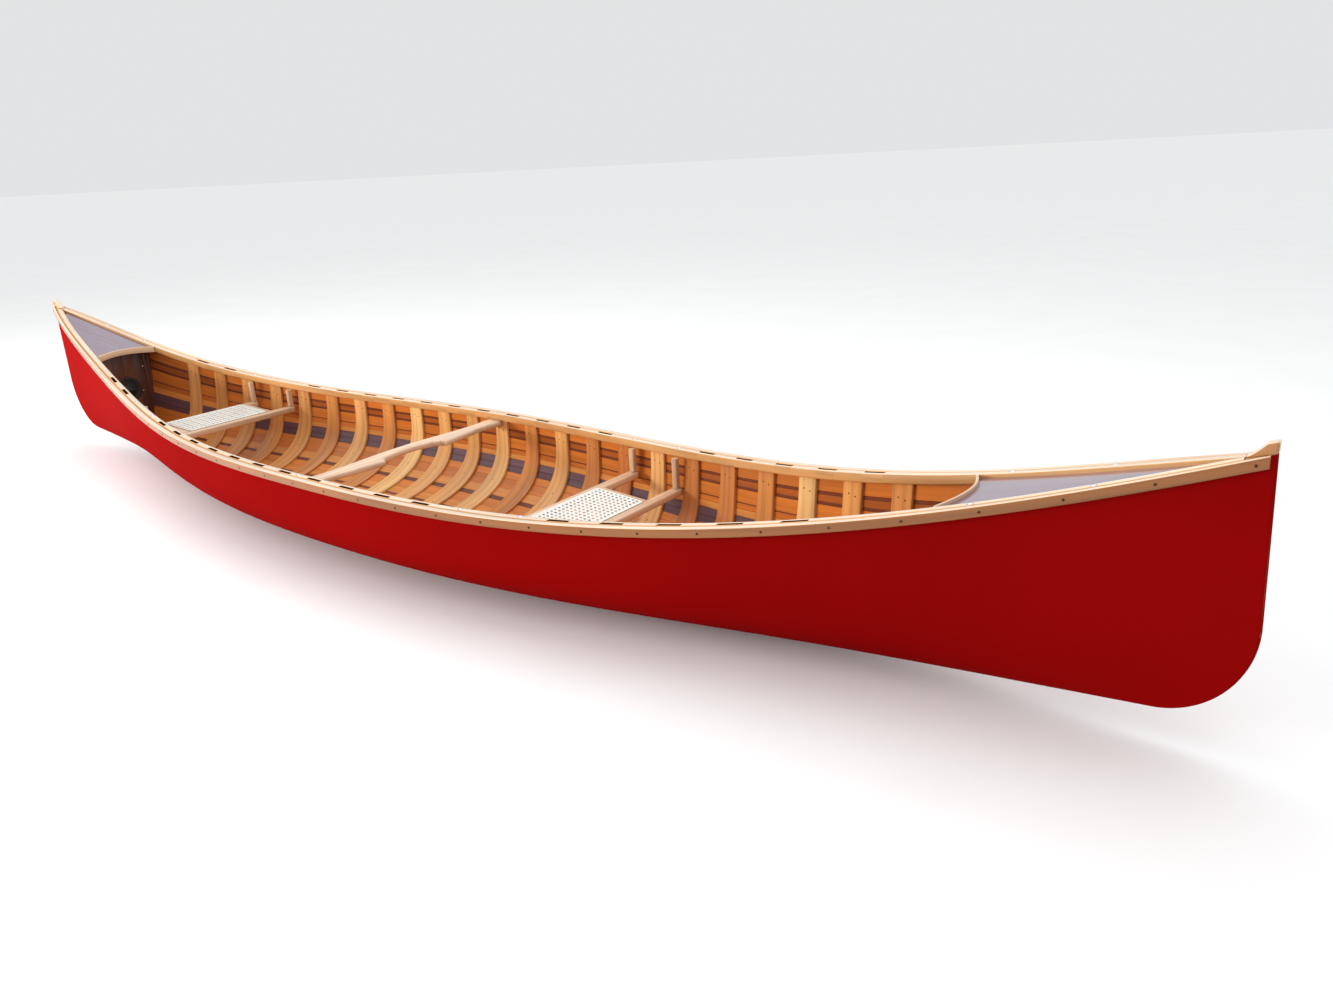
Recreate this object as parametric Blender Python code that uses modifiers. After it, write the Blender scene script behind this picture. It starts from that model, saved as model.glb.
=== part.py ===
"""Cedar-strip open canoe, about 4.98 m long, built as separate pieces.

Frame: metres, +X towards the bow, +Y to port, +Z up. The origin is on the bottom of the keel line
amidships. The hull is the same fore and aft, so every curve is drawn for the bow half and used for
both ends. A point on the hull is named by x and by t, its height as a share of the way from the
keel line (0) to the sheer, the top edge (1).
"""
import math

import bmesh
import bpy
import numpy as np

# ---------------------------------------------------------------- driving dimensions (metres)
PITCH = 0.1524                # rib to rib
HALF_LENGTH = 2.4696          # amidships to the stem, at the sheer
STEM_BULGE = 0.0304           # how far the stem reaches forward of its own top, lower down
FOREFOOT_LENGTH = 0.179       # rounding where the stem runs into the keel line
FOREFOOT_HEIGHT = 0.3714      # share of the stem's height that is rounded
ROCKER = 0.0914               # rise of the keel line at the stems
ROCKER_POWER = 2.5
FLAT_KEEL = 0.06              # share of the half length where the keel line is dead flat
KEEL_HALF = 0.008             # half width of the flat along the keel line and up the stem

# Table of offsets: half breadth over the outwales, and height of the sheer.
OFFSET_STATIONS = (0.0, 0.2, 0.4, 0.55, 0.7, 0.82, 0.92, 1.0)
HALF_BREADTHS = (0.447, 0.426, 0.359, 0.283, 0.198, 0.138, 0.077, 0.018)
SHEER_HEIGHTS = (0.323, 0.322, 0.338, 0.374, 0.438, 0.511, 0.583, 0.644)
FAIR_POWERS = (0, 2, 3, 4, 5, 6)

SIDES = (("port", 1), ("starboard", -1))

# Shape of a section: a rounded curve whose two exponents set the floor and the topsides.
TOPSIDE_POWER = 4.04
FLOOR_POWER = 2.08
SECTION_FINENESS = 0.30       # how much sooner the bottom narrows than the sheer, towards the ends

GAP = 0.0003                  # clearance between pieces that touch
SKIN = 0.0015                 # painted outer skin
PLANK = 0.006                 # cedar planking
RIB_THICK = 0.008
RIB_WIDTH = 0.060             # at the tips
RIB_SWELL = 0.016             # how much wider the ribs are across the floor
RIB_TAPER_LOW = 0.23          # the ribs narrow between these two heights, as t
RIB_TAPER_HIGH = 0.68
RIB_COUNT_EACH_WAY = 11       # ribs forward and aft of the middle one
FACET_GAP = 0.0008            # clearance of gunwales, whose facets bend apart from the hull's
RIB_GAP = 0.0016              # the same for ribs and whatever else crosses the planking

GUNWALE_HIGH = 0.025
GUNWALE_THICK = 0.020
OUTWALE_TIP = 0.010           # outwale thickness at the stem
OUTWALE_SHORT = 0.011         # outwales stop this far from the stem face
RIB_DROP = 0.0255             # rib tops below the sheer
SCUPPER_LONG = 0.065
SCUPPER_DEEP = 0.012
SCUPPER_SHIFT = 0.42 * PITCH  # each scupper lies this far towards the bow from its rib
SCUPPER_RIBS = (-11, -10, -7, -6, -5, -4, -3, -2, -1, 0, 1, 2, 3, 6, 7, 8, 9, 10)
SCUPPER_SLOPE = 0.002

# Where the planking changes strake, as t.
BILGE_LOW = 0.345
BILGE_HIGH = 0.485
STRAKE_GAP = 0.0012
FLOOR_ROWS = 4
FLOOR_ROW_POWER = 2.2
SIDE_ROW = 0.70

BAYS_EACH_WAY = 12            # stations at the middle of each bay, on each side of the middle rib
END_SHARES = (0.28, 0.55, 0.76, 0.905, 1.0)   # stations between the bulkhead and the stem
STEM_START = 0.015            # inner stem begins this share of the way along the last panel

DECK_EDGE = 12.3 * PITCH      # deck's inner edge, at the inwales
DECK_SHARES = (0.0, 0.2, 0.4, 0.6, 0.8, 1.0)   # columns across half the deck
DECK_ARC = 0.030              # how far that edge is hollowed at the centreline
DECK_RECESS = 0.009
DECK_THICK = 0.006
DECK_COLUMNS = 7
DECK_TIP = 15.6 * PITCH
COAMING_THICK = 0.006
COAMING_DEEP = 0.026
COAMING_PROUD = 0.001
HEAD_LONG = 0.0492
HEAD_HIGH = 0.022
HEAD_FLAT = 0.018
HEAD_LOW = 0.004              # height of the stem head's ramp where it starts
HEAD_STEPS = 6
HEAD_FACE_GAP = 0.001         # stem head stops this far behind the stem face
HEAD_HALF_WIDTH = 0.013

BULKHEAD_X = 12.72 * PITCH
BULKHEAD_THICK = 0.009
BULKHEAD_CLEAR = 0.001        # clearance under the deck
END_BASE = BULKHEAD_X + BULKHEAD_THICK
HATCH_Z = 0.295
HATCH_HOLE = 0.0480
HATCH_FLANGE = 0.0580
HATCH_COLLAR = 0.0470
HATCH_BORE = 0.0430
HATCH_LID = 0.0420
HATCH_FLANGE_THICK = 0.005
LID_THICK = 0.006
GRIP_LONG = 0.056
GRIP_WIDE = 0.012
GRIP_HIGH = 0.010
GRIP_ROOT = 0.003             # the grip runs this far into the lid
HATCH_EDGE = 0.001            # bevel of the flange and the lid
HATCH_SEGMENTS = 32

YOKE_THICK = 0.020
YOKE_X = -0.022
YOKE_END_WIDTH = 0.064
YOKE_ARM_WIDTH = 0.050
YOKE_SHOULDER = 0.128         # distance of each shoulder from the centreline
YOKE_STEP = 0.026             # how far the shoulders stand forward of the arms
YOKE_NECK = 0.052             # depth of the neck cut-out
YOKE_BOW = 0.018              # how far the middle of the yoke swells aft
YOKE_TAPER = 0.200            # length over which the shoulders run out into the arms
YOKE_END_START = 0.30         # where the arms begin to widen towards the gunwales
YOKE_END_RUN = 0.09
YOKE_TIP_GAP = 0.002          # clearance to the rib at each tip
YOKE_STEPS = 36

SEAT_RAIL_X = {"bow": (4.335 * PITCH, 5.64 * PITCH), "stern": (-8.665 * PITCH, -7.35 * PITCH)}
SEAT_TOP = {"bow": (0.222, 0.208), "stern": (0.260, 0.252)}   # height of each rail's top
RAIL_WIDE = 0.032
RAIL_DEEP = 0.024
SIDE_RAIL_WIDE = 0.032
SEAT_HALF_WIDTH = 0.190       # half the width over the side rails
CANE_THICK = 0.003
CANE_LAP = 0.008              # cane panel laps this far onto the frame
HANGER = 0.018                # hanger spacers are square
HANGER_GAP = 0.0012           # clearance to the canted rail
HANGER_INSET = 0.004          # hangers stand this far in from the planking
HANGER_TOP_GAP = 0.001        # clearance under the inwale
RAIL_OVERHANG = 0.001         # rails run this far past their hangers

WELD = 0.00001                # vertices closer than this are one
SEAM_WELD = 0.00005           # the same across the centre plane and round a turned piece
X_STEP = 0.002                # steps for slopes taken by differences
T_STEP = 0.0005
STEM_T_STEP = 0.002

COLOURS = {
    "skin": ((0.42, 0.008, 0.006), 0.12, 0.0),
    "cedar": ((0.52, 0.20, 0.05), 0.30, 0.0),
    "walnut": ((0.11, 0.045, 0.05), 0.28, 0.0),
    "rib": ((0.55, 0.27, 0.09), 0.32, 0.0),
    "gunwale": ((0.62, 0.36, 0.15), 0.30, 0.0),
    "deck": ((0.20, 0.12, 0.16), 0.18, 0.0),
    "coaming": ((0.62, 0.38, 0.17), 0.30, 0.0),
    "bulkhead": ((0.10, 0.035, 0.02), 0.35, 0.0),
    "hatch": ((0.012, 0.012, 0.014), 0.40, 0.0),
    "seat": ((0.60, 0.36, 0.18), 0.32, 0.0),
    "cane": ((0.78, 0.79, 0.74), 0.55, 0.0),
}


# ---------------------------------------------------------------- the lines of the hull
def fair_curve(offsets):
    """Smooth curve, level amidships, through a row of the table of offsets."""
    stations = np.array(OFFSET_STATIONS)
    basis = np.stack([stations ** power for power in FAIR_POWERS], axis=1)
    weights = np.linalg.lstsq(basis, np.array(offsets), rcond=None)[0]

    def value(x):
        share = min(abs(x) / HALF_LENGTH, 1.0)
        return float(sum(w * share ** power for w, power in zip(weights, FAIR_POWERS)))

    return value


half_breadth = fair_curve(HALF_BREADTHS)
sheer_height = fair_curve(SHEER_HEIGHTS)


def outwale_thickness(x):
    """Full thickness over most of the length, thinner towards the stems."""
    share = max(0.0, (abs(x) / HALF_LENGTH - 0.6) / 0.4)
    return GUNWALE_THICK + (OUTWALE_TIP - GUNWALE_THICK) * min(share, 1.0)


def hull_breadth(x):
    """Half breadth of the hull itself at the sheer."""
    return half_breadth(x) - outwale_thickness(x)


def keel_height(x):
    share = max(0.0, (abs(x) / HALF_LENGTH - FLAT_KEEL) / (1.0 - FLAT_KEEL))
    return ROCKER * share ** ROCKER_POWER


def stem_x(t):
    """Profile of the stem: a quarter ellipse at the forefoot, then a slight bulge."""
    rise = 1.0 - min(t / FOREFOOT_HEIGHT, 1.0)
    return HALF_LENGTH + STEM_BULGE * (1.0 - t) - FOREFOOT_LENGTH * (1.0 - math.sqrt(1.0 - rise ** 2))


def hull_point(x, t):
    """Outer surface of the port side."""
    share = min(abs(x) / stem_x(t), 1.0)
    middle = hull_breadth(0.0) - KEEL_HALF
    fineness = max(hull_breadth(share * HALF_LENGTH) - KEEL_HALF, 0.0) / middle
    section = (1.0 - (1.0 - t) ** TOPSIDE_POWER) ** (1.0 / FLOOR_POWER)
    y = KEEL_HALF + middle * section * fineness ** (1.0 + SECTION_FINENESS * (1.0 - t))
    z = keel_height(x) + t * (sheer_height(x) - keel_height(x))
    return np.array((x, y, z))


def hull_normal(x, t):
    """Outward normal of the port side, by differences."""
    inboard = x - math.copysign(X_STEP, x)
    along = (hull_point(x, t) - hull_point(inboard, t)) * math.copysign(1.0, x)
    low, high = max(t - T_STEP, 0.0), min(t + T_STEP, 1.0)
    up = hull_point(x, high) - hull_point(x, low)
    normal = np.cross(up, along)
    return normal / np.linalg.norm(normal)


def stem_normal(t):
    """Forward normal of the stem's profile, in the centre plane."""
    low, high = max(t - STEM_T_STEP, 0.0), min(t + STEM_T_STEP, 1.0)
    rise = hull_point(stem_x(high), high)[2] - hull_point(stem_x(low), low)[2]
    run = stem_x(high) - stem_x(low)
    length = math.hypot(rise, run)
    return np.array((rise / length, 0.0, -run / length))


# ---------------------------------------------------------------- stations and rows of the hull
def bow_stations():
    """(x, share) of each station of the bow half; a share above 0 leans with the stem."""
    stations = [((bay + 0.5) * PITCH, 0.0) for bay in range(BAYS_EACH_WAY)]
    stations += [(BULKHEAD_X, 0.0), (END_BASE, 0.0)]
    return stations + [(END_BASE, share) for share in END_SHARES]


def top_row(x):
    """t of the rib tops, just under the inwale."""
    return 1.0 - RIB_DROP / (sheer_height(x) - keel_height(x))


FLOOR = [BILGE_LOW * (row / FLOOR_ROWS) ** FLOOR_ROW_POWER for row in range(FLOOR_ROWS + 1)]
ALL_ROWS = ["centre"] + FLOOR + [BILGE_HIGH, SIDE_ROW, "rib_top", 1.0]


def row_t(row, x):
    if row == "centre":
        return 0.0
    if row == "rib_top":
        return top_row(x)
    return row


def sheet_point(station, row, inset):
    """Point of the port side at one station and row, set in from the outer surface."""
    base, share = station
    t = row_t(row, base + share * (HALF_LENGTH - base))
    x = base + share * (stem_x(t) - base)
    point = hull_point(x, t)
    normal = hull_normal(x, t)
    if row in ("rib_top", 1.0):
        normal[2] = 0.0
        normal /= np.linalg.norm(normal)
    if row == "centre":
        point[1] = 0.0
        normal = np.array((0.0, 0.0, -1.0))
    if share == 1.0:
        normal = stem_normal(t) + np.array((0.0, normal[1], 0.0))
    return point - normal * inset


def mirrored(points):
    """The same columns for the stern half, in order from the stern to the middle."""
    return [[point * np.array((-1.0, 1.0, 1.0)) for point in column] for column in reversed(points)]


def sheet(rows, inset, stations=None):
    """Columns of points of the port side, from stern to bow."""
    half = []
    for station in stations or bow_stations():
        half.append([sheet_point(station, row, inset) for row in rows])
    return mirrored(half) + half


def line_point(line, x):
    """Point at x on a line of points that runs from stern to bow."""
    return np.array((x, np.interp(x, line[:, 0], line[:, 1]), np.interp(x, line[:, 0], line[:, 2])))


def section_at(columns, x):
    """Points where a sheet's rows cross the plane at x."""
    points = []
    for row in range(len(columns[0])):
        points.append(line_point(np.array([column[row] for column in columns]), x))
    return points


def breadth_at(columns, x, z):
    """Half breadth of a sheet at x and height z."""
    section = np.array(section_at(columns, x))
    return float(np.interp(z, section[:, 2], section[:, 1]))


# ---------------------------------------------------------------- mesh tools
def make_material(name):
    colour, roughness, metallic = COLOURS[name]
    material = bpy.data.materials.new(name)
    material.use_nodes = True
    shader = material.node_tree.nodes["Principled BSDF"]
    shader.inputs["Base Color"].default_value = (*colour, 1.0)
    shader.inputs["Roughness"].default_value = roughness
    shader.inputs["Metallic"].default_value = metallic
    material.diffuse_color = (*colour, 1.0)
    return material


def new_object(name, vertices, faces, finish, flip=(1, 1), mirror=False):
    """Mesh object; flip turns it over in X and Y, and mirror completes a half that is open at y = 0."""
    signs = np.array((flip[0], flip[1], 1.0))
    if flip[0] * flip[1] < 0:
        faces = [face[::-1] for face in faces]
    mesh = bpy.data.meshes.new(name)
    mesh.from_pydata([tuple(np.asarray(vertex) * signs) for vertex in vertices], [], faces)
    weld(mesh)
    mesh.materials.append(make_material(finish))
    part = bpy.data.objects.new(name, mesh)
    parts.objects.link(part)
    if mirror:
        modifier = part.modifiers.new("Mirror", "MIRROR")
        modifier.use_axis = (False, True, False)
        modifier.merge_threshold = SEAM_WELD
    return part


def weld(mesh):
    """Join vertices that lie on each other and drop the faces this empties."""
    work = bmesh.new()
    work.from_mesh(mesh)
    bmesh.ops.remove_doubles(work, verts=work.verts, dist=WELD)
    work.to_mesh(mesh)
    work.free()


def halves(a, b, c, d):
    """A four-sided face cut from a to c, so that sheets which lie on each other bend alike."""
    return [(a, b, c), (a, c, d)]


def slab(outer, inner, open_rows=(), open_columns=(), inner_face=True):
    """Closed solid between two sheets of the same size; the named borders stay open."""
    wide, high = len(outer), len(outer[0])
    vertices = [point for column in outer + inner for point in column]
    shift = wide * high

    def at(column, row, side=0):
        return column * high + row + side * shift

    faces = []
    for i in range(wide - 1):
        for j in range(high - 1):
            faces += halves(at(i, j), at(i, j + 1), at(i + 1, j + 1), at(i + 1, j))
            if inner_face:
                faces += halves(at(i, j, 1), at(i + 1, j, 1), at(i + 1, j + 1, 1), at(i, j + 1, 1))
    top = high - 1
    for i in range(wide - 1):
        if "last" not in open_rows:
            faces.append((at(i, top, 1), at(i + 1, top, 1), at(i + 1, top), at(i, top)))
        if "first" not in open_rows:
            faces.append((at(i, 0), at(i + 1, 0), at(i + 1, 0, 1), at(i, 0, 1)))
    end = wide - 1
    for j in range(high - 1):
        if "last" not in open_columns:
            faces.append((at(end, j), at(end, j + 1), at(end, j + 1, 1), at(end, j, 1)))
        if "first" not in open_columns:
            faces.append((at(0, j), at(0, j, 1), at(0, j + 1, 1), at(0, j + 1)))
    return vertices, faces


def loft(rings, closed=True):
    """Solid through a row of rings. An open ring leaves the centre plane open for Mirror."""
    count = len(rings[0])
    vertices = [point for ring in rings for point in ring]
    faces = []
    for i in range(len(rings) - 1):
        for a in range(count if closed else count - 1):
            b = (a + 1) % count
            faces += halves(i * count + a, (i + 1) * count + a, (i + 1) * count + b, i * count + b)
    last = (len(rings) - 1) * count
    faces.append(tuple(range(count)))
    faces.append(tuple(range(last + count - 1, last - 1, -1)))
    return vertices, faces


def box(low, high):
    """Corners and faces of an upright box."""
    (x0, y0, z0), (x1, y1, z1) = low, high
    rings = [[(x, y0, z1), (x, y1, z1), (x, y1, z0), (x, y0, z0)] for x in (x0, x1)]
    return loft(rings)


def boolean(part, cutter, operation):
    modifier = part.modifiers.new(operation.title(), "BOOLEAN")
    modifier.operation = operation
    modifier.solver = "EXACT"
    modifier.object = cutter
    cutter.hide_render = True
    cutter.display_type = "WIRE"


def turned(name, profile, centre, finish, closed):
    """Solid of revolution about the X axis, from a profile of (x, radius) points."""
    mesh = bpy.data.meshes.new(name)
    count = len(profile)
    edges = [(i, (i + 1) % count) for i in range(count if closed else count - 1)]
    mesh.from_pydata([(x, radius, 0.0) for x, radius in profile], edges, [])
    mesh.materials.append(make_material(finish))
    part = bpy.data.objects.new(name, mesh)
    part.location = centre
    parts.objects.link(part)
    screw = part.modifiers.new("Screw", "SCREW")
    screw.axis = "X"
    screw.steps = HATCH_SEGMENTS
    screw.render_steps = HATCH_SEGMENTS
    screw.use_merge_vertices = True
    screw.merge_threshold = SEAM_WELD
    screw.use_normal_calculate = True
    screw.use_normal_flip = True
    return part


# ---------------------------------------------------------------- hull
def build_skin():
    """Painted skin: port half from the centreline to the sheer, closed round both stems."""
    outer = with_stem_faces(sheet(ALL_ROWS, 0.0))
    inner = with_stem_faces(sheet(ALL_ROWS, SKIN))
    vertices, faces = slab(outer, inner, open_rows=("first",), open_columns=("first", "last"))
    new_object("hull_skin", vertices, faces, "skin", mirror=True)


def with_stem_faces(columns):
    """Adds a column on the centre plane beyond each end, which closes the stem's face."""
    return [on_centre(columns[0])] + columns + [on_centre(columns[-1])]


def on_centre(column):
    """The same points moved onto the centre plane."""
    return [point * np.array((1.0, 0.0, 1.0)) for point in column]


def planking(name, rows, finish, side=1, mirror=False):
    """One strake of planking, on the port (1) or starboard (-1) side, or across the keel line."""
    stations = bow_stations()[:-1]
    outside = SKIN + GAP
    outer = sheet(rows, outside, stations)
    inner = sheet(rows, outside + PLANK, stations)
    vertices, faces = slab(outer, inner, open_rows=("first",) if mirror else ())
    new_object(name, vertices, faces, finish, flip=(1, side), mirror=mirror)


def build_planking():
    half_gap = STRAKE_GAP / 2
    floor_rows = ["centre"] + FLOOR[:-1] + [BILGE_LOW - half_gap]
    bilge_rows = [BILGE_LOW + half_gap, BILGE_HIGH - half_gap]
    side_rows = [BILGE_HIGH + half_gap, SIDE_ROW, "rib_top", 1.0]
    planking("floor_planking", floor_rows, "cedar", mirror=True)
    for word, side in SIDES:
        planking(f"bilge_strake_{word}", bilge_rows, "walnut", side)
        planking(f"side_planking_{word}", side_rows, "cedar", side)


def rib_half_width(t):
    """Ribs are widest across the floor and taper to their tips."""
    share = (RIB_TAPER_HIGH - t) / (RIB_TAPER_HIGH - RIB_TAPER_LOW)
    return (RIB_WIDTH + RIB_SWELL * max(0.0, min(share, 1.0))) / 2


def rib_edge(columns, rows, middle, side):
    """Points of a sheet's rows along one edge of a rib; side is 1 towards the bow, -1 towards the stern."""
    points = []
    for number, row in enumerate(rows):
        x = middle + side * rib_half_width(row_t(row, middle))
        points.append(line_point(np.array([column[number] for column in columns]), x))
    return points


def build_ribs():
    """Ribs lie on the planking from inwale to inwale, under the keel line's flat."""
    rows = ALL_ROWS[:-1]
    outside = SKIN + GAP + PLANK + RIB_GAP
    outer_sheet = sheet(rows, outside)
    inner_sheet = sheet(rows, outside + RIB_THICK)
    for number in range(2 * RIB_COUNT_EACH_WAY + 1):
        middle = (number - RIB_COUNT_EACH_WAY) * PITCH
        outer = [rib_edge(outer_sheet, rows, middle, side) for side in (-1, 1)]
        inner = [rib_edge(inner_sheet, rows, middle, side) for side in (-1, 1)]
        vertices, faces = slab(outer, inner, open_rows=("first",))
        new_object(f"rib_{number + 1:02d}", vertices, faces, "rib", mirror=True)


# ---------------------------------------------------------------- gunwales
def sheer_lines(inset):
    """The sheer and rib-top lines of a sheet, as arrays of points from stern to bow."""
    columns = sheet(["rib_top", 1.0], inset)
    return np.array([column[0] for column in columns]), np.array([column[1] for column in columns])


def gunwale_ring(lines, x, near, far):
    """Four corners at x: near is the distance of the hull-side face, far that of the free face."""
    low_line, top_line = lines
    top = line_point(top_line, x)
    low = top + (line_point(low_line, x) - top) * (GUNWALE_HIGH / RIB_DROP)
    inboard, outboard = sorted((near, far))
    side = np.array((0.0, 1.0, 0.0))
    return [top + side * inboard, top + side * outboard, low + side * outboard, low + side * inboard]


def station_positions(limit):
    """x of every station inside a limit, and the limits themselves, from stern to bow."""
    bow = [base + share * (HALF_LENGTH - base) for base, share in bow_stations()]
    inside = [x for x in bow if x < limit - X_STEP] + [limit]
    return [-x for x in reversed(inside)] + inside


def build_outwales():
    lines = sheer_lines(0.0)
    for word, side in SIDES:
        rings = []
        for x in station_positions(HALF_LENGTH - OUTWALE_SHORT):
            rings.append(gunwale_ring(lines, x, FACET_GAP, FACET_GAP + outwale_thickness(x)))
        vertices, faces = loft(rings)
        new_object(f"outwale_{word}", vertices, faces, "gunwale", flip=(1, side))


def inwale_face():
    """Distance from the outer surface to the inwale's outboard face."""
    return SKIN + GAP + PLANK + FACET_GAP


def inwale_width(x):
    """Full thickness, until the two inwales meet on the centreline."""
    room = line_point(sheer_lines_inside[1], x)[1] - GAP / 2
    return min(GUNWALE_THICK, room)


def scupper_depth(x):
    """How far the outboard face is notched at x."""
    for rib in SCUPPER_RIBS:
        inside = SCUPPER_LONG / 2 - abs(x - rib * PITCH - SCUPPER_SHIFT)
        if inside > 0:
            return SCUPPER_DEEP * min(inside / SCUPPER_SLOPE, 1.0)
    return 0.0


def inwale_positions():
    """Stations, and the four corners of every scupper."""
    positions = set(station_positions(INWALE_END))
    for rib in SCUPPER_RIBS:
        middle = rib * PITCH + SCUPPER_SHIFT
        for half in (SCUPPER_LONG / 2, SCUPPER_LONG / 2 - SCUPPER_SLOPE):
            positions.update((middle - half, middle + half))
    return sorted(positions)


def build_inwales():
    for word, side in SIDES:
        rings = []
        for x in inwale_positions():
            notch = -scupper_depth(x)
            rings.append(gunwale_ring(sheer_lines_inside, x, notch, -inwale_width(x)))
        vertices, faces = loft(rings)
        new_object(f"inwale_{word}", vertices, faces, "gunwale", flip=(1, side))


# ---------------------------------------------------------------- ends: stem, deck, coaming, bulkhead
def sheet_columns(shares):
    """Columns of the skin's inner face at some of the leaning end stations."""
    return [[sheet_point((END_BASE, share), row, SKIN + GAP) for row in ALL_ROWS] for share in shares]


def build_stem(end, sign):
    """Inner stem between the skins, from the keel line to the sheer."""
    back, face = sheet_columns(END_SHARES[-2:])
    outer = [[a + (b - a) * STEM_START for a, b in zip(back, face)], face]
    middle = [on_centre(column) for column in outer]
    vertices, faces = slab(outer, middle, open_rows=("first",), inner_face=False)
    new_object(f"{end}_stem", vertices, faces, "gunwale", flip=(sign, 1), mirror=True)


def build_stem_head(end, sign):
    """Carved block on top of the stem: a hollow ramp up to a short flat."""
    start = HALF_LENGTH - HEAD_LONG
    ramp = HEAD_LONG - HEAD_FLAT
    ends = (INWALE_END, HALF_LENGTH)
    heights = [sheer_height(x) + 2 * GAP for x in ends]
    outline = []
    for step in range(HEAD_STEPS + 1):
        share = step / HEAD_STEPS
        lift = HEAD_LOW + (HEAD_HIGH - HEAD_LOW) * (1.0 - math.cos(share * math.pi / 2))
        x = start + ramp * share
        outline.append((x, lift))
    outline.append((HALF_LENGTH - HEAD_FACE_GAP, HEAD_HIGH))
    rings = []
    for x, lift in outline:
        low = np.interp(x, ends, heights)
        top = low + lift
        rings.append([(x, -HEAD_HALF_WIDTH, top), (x, HEAD_HALF_WIDTH, top),
                      (x, HEAD_HALF_WIDTH, low), (x, -HEAD_HALF_WIDTH, low)])
    vertices, faces = loft(rings)
    new_object(f"{end}_stem_head", vertices, faces, "gunwale", flip=(sign, 1))


def deck_side(x):
    """Half breadth between the inwales at their lower edges, with clearance."""
    return line_point(sheer_lines_inside[0], x)[1] - inwale_width(x) - GAP


def deck_edge(v, setback=0.0):
    """x of the deck's hollowed inner edge at a share v of its half breadth."""
    return DECK_EDGE + setback + DECK_ARC * (1.0 - v * v)


def deck_level(x):
    return sheer_height(x) - DECK_RECESS


def build_deck(end, sign):
    top, bottom = [], []
    for column in range(DECK_COLUMNS):
        upper, lower = [], []
        for v in DECK_SHARES:
            edge = deck_edge(v, COAMING_THICK + 2 * GAP)
            x = edge + (DECK_TIP - edge) * column / (DECK_COLUMNS - 1)
            point = np.array((x, v * deck_side(x), deck_level(x)))
            upper.append(point)
            lower.append(point - np.array((0.0, 0.0, DECK_THICK)))
        top.append(upper)
        bottom.append(lower)
    vertices, faces = slab(bottom, top, open_rows=("first",))
    new_object(f"{end}_deck", vertices, faces, "deck", flip=(sign, 1), mirror=True)


def build_coaming(end, sign):
    """Thin curved lip along the deck's inner edge."""
    front, back = [], []
    for v in DECK_SHARES:
        for columns, setback in ((front, 0.0), (back, COAMING_THICK)):
            x = deck_edge(v, setback)
            y = v * deck_side(x)
            high = sheer_height(x) + COAMING_PROUD
            columns.append([np.array((x, y, high - COAMING_DEEP)), np.array((x, y, high))])
    vertices, faces = slab(front, back, open_columns=("first",))
    new_object(f"{end}_coaming", vertices, faces, "coaming", flip=(sign, 1), mirror=True)


def bulkhead_ring(x, plank_face):
    """Half outline of the bulkhead: round the hull, under the inwale, up to the deck, to the centre."""
    outline = section_at(plank_face, x)
    shoulder = outline[-1]
    outline.append(np.array((x, deck_side(x) - GAP, shoulder[2])))
    top = deck_level(x) - DECK_THICK - BULKHEAD_CLEAR
    outline.append(np.array((x, deck_side(x) - GAP, top)))
    outline.append(np.array((x, 0.0, top)))
    return outline


def build_bulkhead(end, sign):
    plank_face = sheet(ALL_ROWS[:-1], SKIN + GAP + PLANK + RIB_GAP)
    rings = [bulkhead_ring(x, plank_face)[::-1] for x in (BULKHEAD_X, END_BASE)]
    vertices, faces = loft(rings, closed=False)
    plate = new_object(f"{end}_bulkhead", vertices, faces, "bulkhead", flip=(sign, 1), mirror=True)
    centre = (sign * (BULKHEAD_X + BULKHEAD_THICK / 2), 0.0, HATCH_Z)
    bpy.ops.mesh.primitive_cylinder_add(vertices=HATCH_SEGMENTS, radius=HATCH_HOLE, depth=5 * BULKHEAD_THICK,
                                        location=centre, rotation=(0.0, math.pi / 2, 0.0))
    cutter = bpy.context.active_object
    cutter.name = f"{end}_hatch_cutter"
    for collection in list(cutter.users_collection):
        collection.objects.unlink(cutter)
    cutters.objects.link(cutter)
    boolean(plate, cutter, "DIFFERENCE")


def build_hatch(end, sign):
    """Screw-in inspection hatch: a flanged ring in the bulkhead and a lid that turns in it."""
    face = BULKHEAD_X - GAP
    deep = BULKHEAD_THICK + 2 * GAP
    flange = -HATCH_FLANGE_THICK
    lid_face = flange - HATCH_EDGE
    ring = [(0.0, HATCH_FLANGE), (flange, HATCH_FLANGE - HATCH_EDGE), (flange, HATCH_BORE),
            (deep, HATCH_BORE), (deep, HATCH_COLLAR), (0.0, HATCH_COLLAR)]
    lid = [(flange + LID_THICK, 0.0), (flange + LID_THICK, HATCH_LID), (flange, HATCH_LID),
           (lid_face, HATCH_LID - HATCH_EDGE), (lid_face, 0.0)]
    centre = (sign * face, 0.0, HATCH_Z)
    ring = [(sign * x, radius) for x, radius in ring]
    lid = [(sign * x, radius) for x, radius in lid]
    turned(f"{end}_hatch_ring", ring, centre, "hatch", closed=True)
    cover = turned(f"{end}_hatch_cover", lid, centre, "hatch", closed=False)
    near, far = sorted((sign * (lid_face - GRIP_HIGH), sign * (lid_face + GRIP_ROOT)))
    vertices, faces = box((near, -GRIP_LONG / 2, -GRIP_WIDE / 2), (far, GRIP_LONG / 2, GRIP_WIDE / 2))
    mesh = bpy.data.meshes.new(f"{end}_hatch_grip")
    mesh.from_pydata(vertices, [], faces)
    grip = bpy.data.objects.new(f"{end}_hatch_grip", mesh)
    grip.location = centre
    cutters.objects.link(grip)
    boolean(cover, grip, "UNION")


# ---------------------------------------------------------------- yoke and seats
def smooth(value):
    value = max(0.0, min(1.0, value))
    return value * value * (3.0 - 2.0 * value)


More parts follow.
